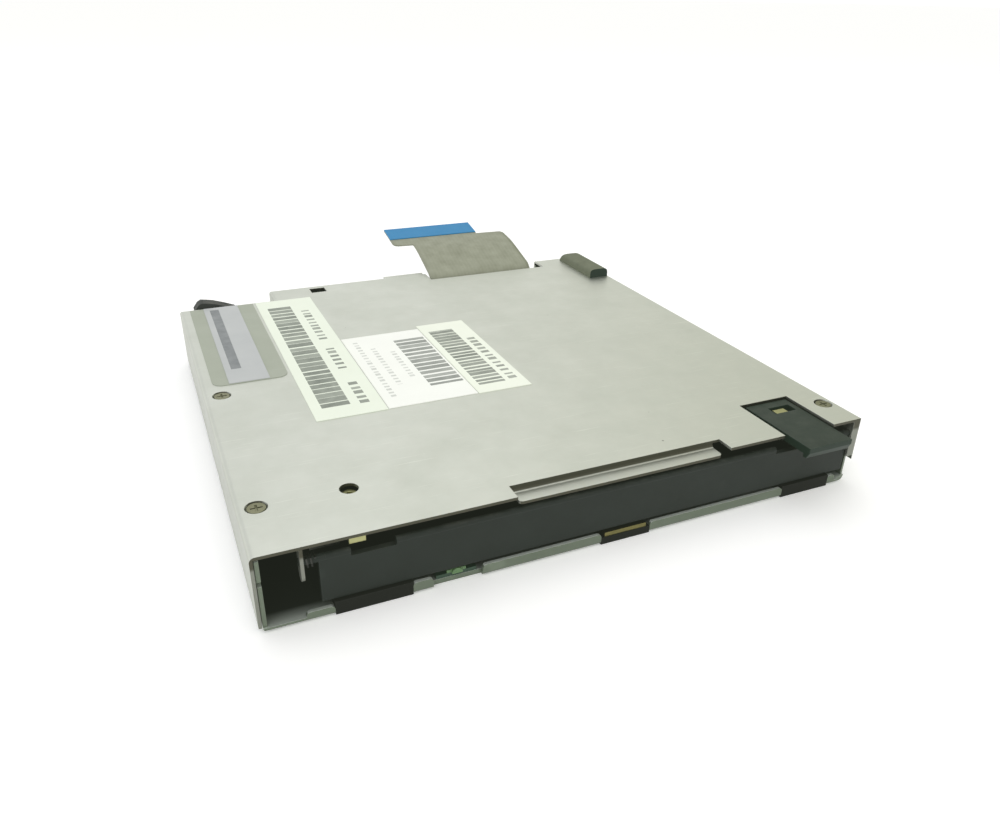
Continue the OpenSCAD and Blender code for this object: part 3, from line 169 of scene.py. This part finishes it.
def make_edges():
    """Rounded look of a piece's edges, and a mask of where they are rubbed."""
    net, given, out = new_group("edges", {"Radius": 0.15}, {"Normal": "Vector", "Rubbed": "Float"})
    radius = net.math("MULTIPLY", given["Radius"], mm)
    rounded = net.add("Bevel", {"Radius": radius}, samples=4)
    true_normal = net.add("NewGeometry").outputs["True Normal"]
    facing = net.add("VectorMath", {0: rounded.outputs[0], 1: true_normal},
                     operation="DOT_PRODUCT")
    net.feed(out["Normal"], rounded.outputs[0])
    net.feed(out["Rubbed"], net.spread(facing.outputs["Value"], 0.995, 0.85))
    return net.tree


def make_dust():
    """Light dust that has settled on faces that look up."""
    net, given, out = new_group("dust", {"Size": 3.0, "Amount": 0.2}, {"Cover": "Float"})
    scale = net.math("DIVIDE", 1 / mm, given["Size"])
    noise = net.add("TexNoise", {"Vector": net.place(), "Scale": scale, "Detail": 6.0,
                                 "Roughness": 0.7})
    height = net.add("SeparateXYZ", {0: net.add("NewGeometry").outputs["Normal"]}).outputs[2]
    lying = net.spread(height, 0.3, 0.9)
    patches = net.spread(noise.outputs[0], 0.4, 0.7)
    net.feed(out["Cover"], net.product(patches, lying, given["Amount"]))
    return net.tree


def make_specks():
    """Small scattered specks, one in some of the cells of a loose grid."""
    net, given, out = new_group("specks", {"Spacing": 5.0, "Radius": 0.15}, {"Cover": "Float"})
    scale = net.math("DIVIDE", 1 / mm, given["Spacing"])
    cells = net.add("TexVoronoi", {"Vector": net.place(), "Scale": scale})
    chance = net.add("SeparateColor", {0: cells.outputs["Color"]}).outputs[0]
    reach = net.product(net.math("DIVIDE", given["Radius"], given["Spacing"]),
                        net.spread(chance, 0.4, 1.0))
    net.feed(out["Cover"], net.math("LESS_THAN", cells.outputs["Distance"], reach))
    return net.tree


def inside(net, value, low, high):
    above = net.math("GREATER_THAN", value, low)
    below = net.math("LESS_THAN", value, high)
    return net.math("MULTIPLY", above, below)


PRINT_INPUTS = {"Along": 0.0, "Across": 0.0, "Start": 0.0, "End": 1.0, "Low": 0.0, "High": 1.0,
                "Pitch": 0.5, "Seed": 0.0, "Thinnest": 0.3, "Widest": 0.8}


def make_print():
    """Ink in one field of a label: a mark of uneven length and depth in each cell along it."""
    net, given, out = new_group("printed_marks", PRINT_INPUTS, {"Ink": "Float"})
    place = net.math("DIVIDE", given["Along"], given["Pitch"])
    cell = net.math("ADD", net.math("FLOOR", place), given["Seed"])
    draw = net.add("TexWhiteNoise", {"W": cell}, noise_dimensions="1D").outputs["Value"]
    length = net.spread(draw, 0.0, 1.0, given["Thinnest"], given["Widest"])
    mark = net.math("LESS_THAN", net.math("FRACT", place), length)
    depth = net.math("FRACT", net.math("MULTIPLY", draw, 7.0))
    field = net.product(inside(net, given["Along"], given["Start"], given["End"]),
                        inside(net, given["Across"], given["Low"], given["High"]))
    net.feed(out["Ink"], net.product(mark, field, net.spread(depth, 0.0, 1.0, 0.8, 1.0)))
    return net.tree


MOTTLE = make_mottle()
GRAIN = make_grain()
HANDLING = make_handling()
EDGES = make_edges()
DUST = make_dust()
SPECKS = make_specks()
PRINT = make_print()


# Finishes

def new_finish(name, metal, **fixed):
    """A material with only its shader: the net and the shader's sockets."""
    material = bpy.data.materials.new(name)
    material.use_nodes = True
    net = Net(material.node_tree)
    shader = material.node_tree.nodes["Principled BSDF"]
    shader.inputs["Metallic"].default_value = metal
    for socket, value in fixed.items():
        shader.inputs[socket.replace("_", " ")].default_value = value
    return material, net, shader.inputs


def surface(net, sockets, colour, rough, rough_swing, tone, grain, edge=0.0):
    """Joins a colour, a roughness that follows the tone, grain and rounded edges to a shader."""
    net.feed(sockets["Base Color"], colour)
    roughness = net.spread(tone, 0.0, 1.0, rough + rough_swing, rough - rough_swing)
    net.feed(sockets["Roughness"], roughness)
    size, stretch, depth = grain
    height = net.use(GRAIN, size=size, stretch=stretch)["Height"]
    bump = net.add("Bump", {"Height": height, "Strength": 1.0, "Distance": depth * mm})
    if edge:
        net.feed(bump.inputs["Normal"], net.use(EDGES, radius=edge)["Normal"])
    net.feed(sockets["Normal"], bump.outputs[0])


FRONT_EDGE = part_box("pan")[0].y
# Where the pan floor's painted light at the front ends and its painted shade further in begins.
FLOOR_PALE_TO = FRONT_EDGE + 0.5 * mm
FLOOR_DARK_FROM = FRONT_EDGE + 3.0 * mm
CUT_EDGE_LOW, CUT_EDGE_HIGH = 10.5 * mm, 11 * mm


def face_way(net):
    """How far a face looks to the right, to the rear and up."""
    return net.add("SeparateXYZ", {0: net.add("NewGeometry").outputs["True Normal"]}).outputs


def painted_face_shade(net, colour, sides, front, cut_edge):
    """Painted shade on a folded sheet: darker sides, darker front faces and, near the top, a darker
    cut front edge.
    """
    way = face_way(net)
    height = net.add("SeparateXYZ", {0: net.place()}).outputs[2]
    # Painted shade: upright sides get the darker sides tone.
    upright = net.spread(net.math("ABSOLUTE", way[2]), 0.7, 0.3, 0.0, 0.6)
    colour = net.mix(upright, colour, screen(*sides))
    # Painted shade: faces that look forward get the darker front tone.
    ahead = net.spread(way[1], -0.5, -0.8)
    colour = net.mix(net.math("MULTIPLY", ahead, 0.8), colour, screen(*front))
    # Painted shade and painted reflection of a dark front: the cut front edge near the top gets the
    # darkest tone.
    near_top = net.spread(height, CUT_EDGE_LOW, CUT_EDGE_HIGH)
    return net.mix(net.product(ahead, near_top), colour, screen(*cut_edge))


def painted_floor_light_and_shade(net, colour, pale, dark):
    """Tone of faces that look up: painted light as a pale tone at the front edge, and painted shade
    further in.
    """
    depth = net.add("SeparateXYZ", {0: net.place()}).outputs[1]
    further_in = net.spread(depth, FLOOR_PALE_TO, FLOOR_DARK_FROM)
    # Painted light near the front edge fading to painted shade further in.
    tone = net.mix(further_in, screen(*pale), screen(*dark))
    return net.mix(net.spread(face_way(net)[2], 0.5, 0.8), colour, tone)


def metal_finish(name, light, dark, rough, cloud=7.0, contrast=1.0, grain=(0.3, 1.0, 0.004),
                 edge=0.15, rub=0.35, dust=0.0, specks=0.0, face_shade=None, floor=None, metal=1.0):
    """Sheet or turned metal: cloudy tone, scratches, bright edges, and painted shade and light by a
    face's way and place.
    """
    material, net, sockets = new_finish(name, metal=metal)
    tone = net.use(MOTTLE, size=cloud, contrast=contrast)["Tone"]
    colour = net.mix(tone, screen(*dark), screen(*light))
    bright = screen(*(min(255, value + 18) for value in light))
    scratched = net.use(HANDLING, amount=rub)["Rub"]
    colour = net.mix(scratched, colour, bright)
    if edge:
        worn = net.math("MULTIPLY", net.use(EDGES, radius=edge)["Rubbed"], 0.5)
        colour = net.mix(worn, colour, bright)
    if dust:
        colour = net.mix(net.use(DUST, amount=dust)["Cover"], colour, screen(196, 194, 182))
    if specks:
        spots = net.use(SPECKS, radius=specks)["Cover"]
        colour = net.mix(net.math("MULTIPLY", spots, 0.55), colour, screen(92, 92, 80))
    # Painted shade on a folded sheet's sides, front faces and cut front edge.
    if face_shade:
        colour = painted_face_shade(net, colour, **face_shade)
    # Painted light on the floor at the front edge and painted shade further in.
    if floor:
        colour = painted_floor_light_and_shade(net, colour, **floor)
    surface(net, sockets, colour, rough, 0.08, tone, grain, edge)
    return material


def moulded_finish(name, light, dark, rough, cloud=5.0, contrast=1.0, grain=(0.22, 1.0, 0.012),
                   edge=0.2, rub=0.15, dust=0.0, **fixed):
    """Plastic, rubber, lacquer or film: grain, uneven tone, paler rubbed edges."""
    material, net, sockets = new_finish(name, metal=0.0, **fixed)
    tone = net.use(MOTTLE, size=cloud, contrast=contrast)["Tone"]
    colour = net.mix(tone, screen(*dark), screen(*light))
    pale = screen(*(min(255, value + 45) for value in light))
    colour = net.mix(net.use(HANDLING, amount=rub)["Rub"], colour, pale)
    if edge:
        worn = net.math("MULTIPLY", net.use(EDGES, radius=edge)["Rubbed"], 0.35)
        colour = net.mix(worn, colour, pale)
    if dust:
        colour = net.mix(net.use(DUST, amount=dust)["Cover"], colour, screen(176, 174, 162))
    surface(net, sockets, colour, rough, 0.07, tone, grain, edge)
    return material


LABEL_PAPER = {
    "long_label": (239, 246, 231),
    "wide_label": (250, 252, 246),
    "narrow_label": (244, 249, 235),
}
PAPER_SHADE = 6
INK = (84, 92, 84)


def label_finish(name, fields):
    """Pale label paper with greyed bars and dashes; fields are measured from the label's corner."""
    low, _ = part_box(name)
    paper = LABEL_PAPER[name]
    shade = [value - PAPER_SHADE for value in paper]
    material, net, sockets = new_finish(name, metal=0.0, Specular_IOR_Level=0.35)
    tone = net.use(MOTTLE, size=8.0, contrast=1.2)["Tone"]
    colour = net.mix(tone, screen(*shade), screen(*paper))
    place = net.add("SeparateXYZ", {0: net.place()}).outputs
    across = net.math("DIVIDE", net.math("SUBTRACT", place[0], low.x), mm)
    along = net.math("DIVIDE", net.math("SUBTRACT", place[1], low.y), mm)
    fade = net.use(MOTTLE, size=2.2, contrast=1.6)["Tone"]
    for (thinnest, widest), strength, span, width, pitch, seed in fields:
        ink = net.use(PRINT, along=along, across=across, start=span[0], end=span[1], low=width[0],
                      high=width[1], pitch=pitch, seed=seed, thinnest=thinnest,
                      widest=widest)["Ink"]
        print_mask = net.product(ink, net.spread(fade, 0.0, 1.0, 0.75, 1.0), strength)
        colour = net.mix(print_mask, colour, screen(*INK))
    surface(net, sockets, colour, 0.55, 0.06, tone, (0.12, 1.0, 0.004))
    return material


def liner_finish():
    """Bluish silicone liner with one dark stripe along its left part."""
    low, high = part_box("liner_strip")
    material, net, sockets = new_finish("liner", metal=0.0, Coat_Roughness=0.3)
    tone = net.use(MOTTLE, size=9.0, contrast=1.2)["Tone"]
    colour = net.mix(tone, screen(174, 178, 179), screen(187, 190, 190))
    place = net.add("SeparateXYZ", {0: net.place()}).outputs
    stripe = net.product(inside(net, place[0], low.x + 1.2 * mm, low.x + 3.1 * mm),
                         inside(net, place[1], low.y + 6.4 * mm, high.y - 1.6 * mm))
    worn = net.spread(net.use(MOTTLE, size=2.5, contrast=2.0)["Tone"], 0.0, 1.0, 0.7, 1.0)
    colour = net.mix(net.math("MULTIPLY", stripe, worn), colour, screen(100, 106, 109))
    surface(net, sockets, colour, 0.38, 0.06, tone, (0.3, 1.0, 0.004))
    return material


CONDUCTOR_PITCH = 1.0 * mm


def cable_finish():
    """Grey-green ribbon film over a row of tinned conductors."""
    material, net, sockets = new_finish("cable_film", metal=0.0, Specular_IOR_Level=0.55)
    tone = net.use(MOTTLE, size=3.0, contrast=1.8)["Tone"]
    colour = net.mix(tone, screen(126, 129, 108), screen(150, 153, 133))
    place = net.add("SeparateXYZ", {0: net.place()}).outputs
    row = net.math("FRACT", net.math("DIVIDE", place[0], CONDUCTOR_PITCH))
    ridge = net.math("ABSOLUTE", net.math("SUBTRACT", row, 0.5))
    wire = net.spread(ridge, 0.3, 0.18)
    colour = net.mix(net.math("MULTIPLY", wire, 0.12), colour, screen(158, 160, 143))
    net.feed(sockets["Base Color"], colour)
    net.feed(sockets["Roughness"], net.spread(tone, 0.0, 1.0, 0.5, 0.38))
    bump = net.add("Bump", {"Height": wire, "Strength": 1.0, "Distance": 0.01 * mm})
    net.feed(sockets["Normal"], bump.outputs[0])
    return material


def foam_finish():
    """Open-cell grey foam: pores with painted shade in them, darker where it was cut."""
    material, net, sockets = new_finish("foam", metal=0.0, Specular_IOR_Level=0.15)
    pores = net.add("TexVoronoi", {"Vector": net.place(), "Scale": 1 / (0.35 * mm)})
    depth = net.spread(pores.outputs["Distance"], 0.0, 0.6)
    tone = net.use(MOTTLE, size=3.0, contrast=1.2)["Tone"]
    skin = net.mix(tone, screen(101, 106, 88), screen(124, 129, 110))
    facing = net.add("SeparateXYZ", {0: net.add("NewGeometry").outputs["Normal"]}).outputs[1]
    cut = net.spread(facing, -0.6, -0.85)
    colour = net.mix(cut, skin, screen(44, 56, 49))
    # Painted shade in the pores.
    colour = net.mix(net.spread(depth, 0.35, 0.0, 0.0, 0.5), colour, screen(52, 56, 46))
    net.feed(sockets["Base Color"], colour)
    net.feed(sockets["Roughness"], net.spread(tone, 0.0, 1.0, 0.95, 0.85))
    bump = net.add("Bump", {"Height": depth, "Strength": 1.0, "Distance": 0.06 * mm})
    net.feed(sockets["Normal"], bump.outputs[0])
    return material


ROLLED_GRAIN = (0.35, 0.25, 0.004)
# Painted shade: darker tones for the cover's sides, front faces and cut front edge.
COVER_PAINTED_SHADE = {"sides": (162, 165, 156), "front": (118, 120, 111), "cut_edge": (80, 79, 68)}
# Painted light and shade: a pale tone at the pan floor's front edge, a dark tone further in.
PAN_FLOOR_LIGHT_AND_SHADE = {"pale": (204, 212, 204), "dark": (34, 38, 35)}

FINISHES = {
    "plated_steel": metal_finish("plated_steel", (213, 216, 207), (200, 204, 194), 0.46,
                                 cloud=9.0, contrast=1.4, grain=ROLLED_GRAIN, dust=0.08,
                                 specks=0.2, face_shade=COVER_PAINTED_SHADE),
    # Painted shade: the pan is the same plated steel as the cover, given a darker tone for the shade
    # on its front lip.
    "pan_steel": metal_finish("pan_steel", (116, 127, 110), (99, 109, 94), 0.46,
                              grain=ROLLED_GRAIN, floor=PAN_FLOOR_LIGHT_AND_SHADE, metal=0.6),
    "chromate_steel": metal_finish("chromate_steel", (186, 186, 138), (160, 160, 108), 0.36),
    "screw_steel": metal_finish("screw_steel", (150, 150, 122), (112, 112, 86), 0.38, cloud=1.5),
    "bright_steel": metal_finish("bright_steel", (214, 214, 212), (196, 196, 194), 0.2, cloud=3.0),
    "spring_steel": metal_finish("spring_steel", (74, 74, 72), (52, 52, 50), 0.34, cloud=1.0,
                                 edge=0.0),
    "can_steel": metal_finish("can_steel", (168, 169, 166), (146, 147, 144), 0.34),
    "bronze": metal_finish("bronze", (138, 132, 84), (108, 102, 60), 0.36, cloud=2.0),
    "copper_wire": metal_finish("copper_wire", (196, 122, 70), (158, 88, 46), 0.3, cloud=0.8,
                                edge=0.0),
    "tape": moulded_finish("tape", (168, 174, 160), (158, 164, 149), 0.62, cloud=7.0, edge=0.0),
    "black_rubber": moulded_finish("black_rubber", (57, 60, 59), (36, 39, 38), 0.7, dust=0.15,
                                   Specular_IOR_Level=0.3),
    "blue_film": moulded_finish("blue_film", (4, 130, 186), (2, 120, 174), 0.36, rub=0.08,
                                grain=(0.4, 1.0, 0.003), edge=0.0, Specular_IOR_Level=0.3),
    "ivory_plastic": moulded_finish("ivory_plastic", (222, 216, 196), (206, 199, 177), 0.45),
    "board_green": moulded_finish("board_green", (34, 68, 47), (23, 52, 35), 0.4, edge=0.0),
    "chip_black": moulded_finish("chip_black", (42, 43, 44), (30, 31, 32), 0.6),
    "lamp_green": moulded_finish("lamp_green", (96, 132, 84), (74, 106, 64), 0.2, rub=0.05),
    "sensor_brown": moulded_finish("sensor_brown", (18, 19, 16), (12, 13, 10), 0.6,
                                   Specular_IOR_Level=0.12),
    "flex_amber": moulded_finish("flex_amber", (188, 122, 42), (156, 92, 26), 0.3, edge=0.0),
    "door_plastic": moulded_finish("door_plastic", (22, 31, 27), (15, 22, 18), 0.5, dust=0.06,
                                   Specular_IOR_Level=0.25),
    "button_plastic": moulded_finish("button_plastic", (19, 40, 29), (13, 32, 21), 0.5, dust=0.04,
                                     Specular_IOR_Level=0.3),
    "inner_plastic": moulded_finish("inner_plastic", (72, 74, 72), (54, 56, 55), 0.5),
    "magnet": moulded_finish("magnet", (58, 56, 54), (42, 41, 40), 0.55),
    "head_ceramic": moulded_finish("head_ceramic", (70, 68, 64), (48, 46, 43), 0.25, edge=0.1),
    "liner": liner_finish(),
    "cable_film": cable_finish(),
    "foam": foam_finish(),
}

# Print on each label: shares of the pitch, strength, span along, width across, pitch and seed, in mm
BARS = (0.6, 0.92)
CLOSE_BARS = (0.72, 0.97)
DASHES = (0.3, 0.7)
LABEL_PRINT = {
    "long_label": [
        (CLOSE_BARS, 0.95, (4.4, 58.5), (1.9, 7.0), 2.1, 3.0),
        (DASHES, 0.9, (3.9, 13.4), (8.7, 10.4), 2.0, 11.0),
        (DASHES, 0.9, (19.1, 30.8), (8.7, 10.4), 2.0, 23.0),
        (DASHES, 0.9, (35.2, 55.1), (8.7, 10.4), 2.0, 37.0),
    ],
    "wide_label": [
        (DASHES, 0.4, (3.8, 32.1), (1.7, 2.7), 1.4, 5.0),
        (DASHES, 0.4, (8.8, 27.1), (4.3, 5.3), 1.4, 15.0),
        (DASHES, 0.4, (11.3, 24.6), (7.6, 8.6), 1.4, 29.0),
        (BARS, 0.88, (6.1, 30.0), (9.9, 16.4), 1.9, 41.0),
    ],
    "narrow_label": [
        (BARS, 0.95, (3.2, 31.8), (1.35, 6.7), 1.5, 57.0),
        (DASHES, 0.85, (2.65, 25.9), (7.7, 9.4), 1.9, 63.0),
    ],
}


def dress_nodes():
    """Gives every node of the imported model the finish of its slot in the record."""
    for part in frame["record"]["subparts"]:
        name = part["node"]
        if name in LABEL_PRINT:
            finish = label_finish(name, LABEL_PRINT[name])
        else:
            finish = FINISHES[part["material_slot"]]
        for place in nodes[name].material_slots:
            place.material = finish


# Pieces made here

def new_piece(name, mesh, slot, body, *stands_for):
    piece = bpy.data.objects.new(name, mesh)
    scene.collection.objects.link(piece)
    piece.data.materials.append(FINISHES[slot])
    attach(piece, body)
    if stands_for:
        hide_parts(*stands_for)
    return piece


def mesh_from(name, bm):
    mesh = bpy.data.meshes.new(name)
    bmesh.ops.recalc_face_normals(bm, faces=bm.faces)
    bm.to_mesh(mesh)
    bm.free()
    mesh.shade_smooth()
    return mesh


# Flat cable: places in millimetres, as in the part's source
CABLE_LEFT, CABLE_RIGHT = 9.4, 36.4
TAIL_LEFT, TAIL_RIGHT = 3.1, 27.6
FLARE_LEFT, FLARE_Z = 8.3, 9.4
LEAN, LEAN_START = 1.2, 49.75
CABLE_THICK = 0.3
JOG_Y = 62.15
JOG_OVERLAP = 2.6


def arc(centre_y, centre_z, radius, start, end, steps):
    points = []
    for step in range(steps + 1):
        angle = math.radians(start + (end - start) * step / steps)
        points.append((centre_y + radius * math.cos(angle), centre_z + radius * math.sin(angle)))
    return points


def cable_route():
    """The flat cable's middle line in the side view, from its socket to its tip, in millimetres."""
    socket_y, low_z = 44.05, 3.1
    rise_y, bend_r = 47.85, 2.0
    over_r, over_z = 4.0, 9.9
    slope, tail_slope = 22.0, 12.0
    ramp, tail_r, tail = 7.6, 20.0, 10.6
    points = [(socket_y, low_z)]
    points += arc(rise_y - bend_r, low_z + bend_r, bend_r, -90, 0, 12)
    points += arc(rise_y + over_r, over_z, over_r, 180, 90 + slope, 14)
    lean = math.radians(slope)
    end_y = points[-1][0] + ramp * math.cos(lean)
    end_z = points[-1][1] + ramp * math.sin(lean)
    centre = (end_y + tail_r * math.sin(lean), end_z - tail_r * math.cos(lean))
    points += arc(*centre, tail_r, 90 + slope, 90 + tail_slope, 10)
    flat = math.radians(tail_slope)
    points.append((points[-1][0] + tail * math.cos(flat), points[-1][1] + tail * math.sin(flat)))
    return points


def dense(points, step):
    """The same line with points no further apart than step."""
    result = [points[0]]
    for a, b in zip(points, points[1:]):
        count = max(1, math.ceil(math.dist(a, b) / step))
        for i in range(1, count + 1):
            share = i / count
            result.append((a[0] + (b[0] - a[0]) * share, a[1] + (b[1] - a[1]) * share))
    return result


def rounded_step(y, edge_y, radius):
    """0 before edge_y and 1 after it, with a rounded corner that starts at the edge."""
    reach = (y - edge_y) / radius
    if reach <= 0:
        return 0.0
    if reach >= 1:
        return 1.0
    return math.sqrt(1 - (1 - reach) ** 2)


def cable_sides(y, z):
    """Left and right side of the cable at a place on its middle line, in millimetres."""
    corner = 1.4
    left = CABLE_LEFT - (CABLE_LEFT - FLARE_LEFT) * rounded_step(z, FLARE_Z, 0.8)
    if y > JOG_Y:
        left = TAIL_LEFT + corner * (1 - rounded_step(y, JOG_Y, corner))
    step_y = JOG_Y + JOG_OVERLAP
    if y > step_y:
        return left, TAIL_RIGHT
    lean = LEAN * max(0.0, y - LEAN_START) / (step_y - LEAN_START)
    turn = rounded_step(2 * step_y - y, step_y, corner)
    return left, CABLE_RIGHT - lean - corner * (1 - turn)


def make_cable():
    """The ribbon as one smooth sheet with its jogged tail."""
    columns = 24
    line = dense(cable_route(), 0.25)
    bm = bmesh.new()
    rows = []
    for y, z in line:
        left, right = cable_sides(y, z)
        row = []
        for column in range(columns + 1):
            x = left + (right - left) * column / columns
            row.append(bm.verts.new((x * mm, y * mm, z * mm)))
        rows.append(row)
    for near, far in zip(rows, rows[1:]):
        for column in range(columns):
            bm.faces.new((near[column], near[column + 1], far[column + 1], far[column]))
    cable = new_piece("ribbon_cable", mesh_from("ribbon_cable", bm), "cable_film", "chassis",
                      "flat_cable")
    thick = cable.modifiers.new("thickness", "SOLIDIFY")
    thick.thickness = CABLE_THICK * mm
    thick.offset = 0.0
    return cable


def make_bumper():
    """Foam strip with a rounded top, a bullnose rear end and a cut front end."""
    low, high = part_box("bumper")
    size = high - low
    across, along = 20, 54
    nose = size.z
    bm = bmesh.new()
    rows = []
    for i in range(along + 1):
        y = size.y * i / along
        past = max(0.0, y - (size.y - nose)) / nose
        top = size.z * math.sqrt(max(0.0, 1 - past ** 2))
        row = []
        for j in range(across + 1):
            angle = math.pi * j / across
            power = 0.42
            x = math.copysign(abs(math.cos(angle)) ** power, math.cos(angle))
            z = abs(math.sin(angle)) ** power
            row.append(bm.verts.new((low.x + size.x * (0.5 - 0.5 * x), low.y + y,
                                     low.z + top * z)))
        rows.append(row)
    for near, far in zip(rows, rows[1:]):
        for j in range(across):
            bm.faces.new((near[j], near[j + 1], far[j + 1], far[j]))
        bm.faces.new((near[across], near[0], far[0], far[across]))
    bm.faces.new(rows[0])
    bmesh.ops.remove_doubles(bm, verts=bm.verts, dist=0.002 * mm)
    bumper = new_piece("foam_bumper", mesh_from("foam_bumper", bm), "foam", "chassis", "bumper")
    bumper.data.set_sharp_from_angle(angle=math.radians(50))
    return bumper


# Floor, light and camera

def make_floor():
    reach = 14.0
    mesh = bpy.data.meshes.new("studio_floor")
    below = -0.05 * mm
    sides = ((-reach, -reach), (reach, -reach), (reach, reach), (-reach, reach))
    corners = [(x, y, below) for x, y in sides]
    mesh.from_pydata(corners, [], [(0, 1, 2, 3)])
    floor = bpy.data.objects.new("studio_floor", mesh)
    scene.collection.objects.link(floor)
    material, net, sockets = new_finish("floor_paper", metal=0.0, Specular_IOR_Level=0.0,
                                        Emission_Strength=0.16)
    tone = net.use(MOTTLE, size=60.0, contrast=0.4)["Tone"]
    net.feed(sockets["Base Color"], net.mix(tone, (0.96, 0.96, 0.96, 1), (0.98, 0.98, 0.98, 1)))
    sockets["Roughness"].default_value = 1.0
    floor.data.materials.append(material)


def make_sky():
    """Soft white surround that falls off to both sides and warms a little to the right."""
    world = bpy.data.worlds.new("studio_surround")
    world.use_nodes = True
    scene.world = world
    net = Net(world.node_tree)
    way = net.add("SeparateXYZ", {0: net.add("TexCoord").outputs["Generated"]}).outputs
    aloft = net.spread(way[2], 0.1, 0.35)
    to_left = net.product(net.spread(way[0], 0.22, -0.05), aloft)
    to_right = net.product(net.spread(way[0], 0.3, 0.68), aloft)
    tone = net.mix(to_left, (1.0, 1.0, 0.99, 1), (0.84, 0.84, 0.85, 1))
    tone = net.mix(to_right, tone, (0.53, 0.53, 0.41, 1))
    back = world.node_tree.nodes["Background"]
    back.inputs["Strength"].default_value = 1.04
    net.feed(back.inputs["Color"], tone)


def make_lamp(name, place, aim, size, watts):
    light = bpy.data.lights.new(name, "AREA")
    light.shape = "RECTANGLE"
    light.size, light.size_y = size
    light.energy = watts
    lamp = bpy.data.objects.new(name, light)
    scene.collection.objects.link(lamp)
    lamp.location = place
    lamp.rotation_euler = (Vector(aim) - Vector(place)).to_track_quat("-Z", "Y").to_euler()


LENS_VEIL = (0.0125, 0.0145, 0.0105)


def set_view():
    """Plain tones with a thin lens veil, which keeps the darkest gaps from going fully black."""
    view = scene.view_settings
    view.view_transform = "Standard"
    view.use_curve_mapping = True
    view.curve_mapping.black_level = [-share for share in LENS_VEIL]
    view.curve_mapping.update()


CAMERA_PLACE = Vector((-58.374, -142.771, 77.688)) * mm
CAMERA_AZIMUTH = math.radians(-24.444)
CAMERA_HEIGHT = math.radians(27.371)
CAMERA_ROLL = math.radians(1.139)
CAMERA_LENS = 29.469


def make_camera():
    data = bpy.data.cameras.new("photo_camera")
    data.sensor_fit = "HORIZONTAL"
    data.sensor_width = 36.0
    data.lens = CAMERA_LENS
    data.clip_start = 0.005
    data.clip_end = 60.0
    camera = bpy.data.objects.new("photo_camera", data)
    scene.collection.objects.link(camera)
    level = math.cos(CAMERA_HEIGHT)
    back = Vector((math.sin(CAMERA_AZIMUTH) * level, -math.cos(CAMERA_AZIMUTH) * level,
                   math.sin(CAMERA_HEIGHT)))
    side = Vector((0, 0, 1)).cross(back).normalized()
    up = back.cross(side)
    turn = Matrix((side, up, back)).transposed() @ Matrix.Rotation(CAMERA_ROLL, 3, "Z")
    camera.matrix_world = Matrix.Translation(CAMERA_PLACE) @ turn.to_4x4()
    scene.camera = camera


set_view()
make_camera()
make_floor()
make_sky()
make_lamp("key_panel", (-0.35, -0.4, 0.6), (0, 0, 0), (0.6, 0.6), 0.9)
make_lamp("top_panel", (0.1, 0.25, 0.8), (0, 0, 0), (0.8, 0.8), 0.8)

dress_nodes()
make_cable()
make_bumper()
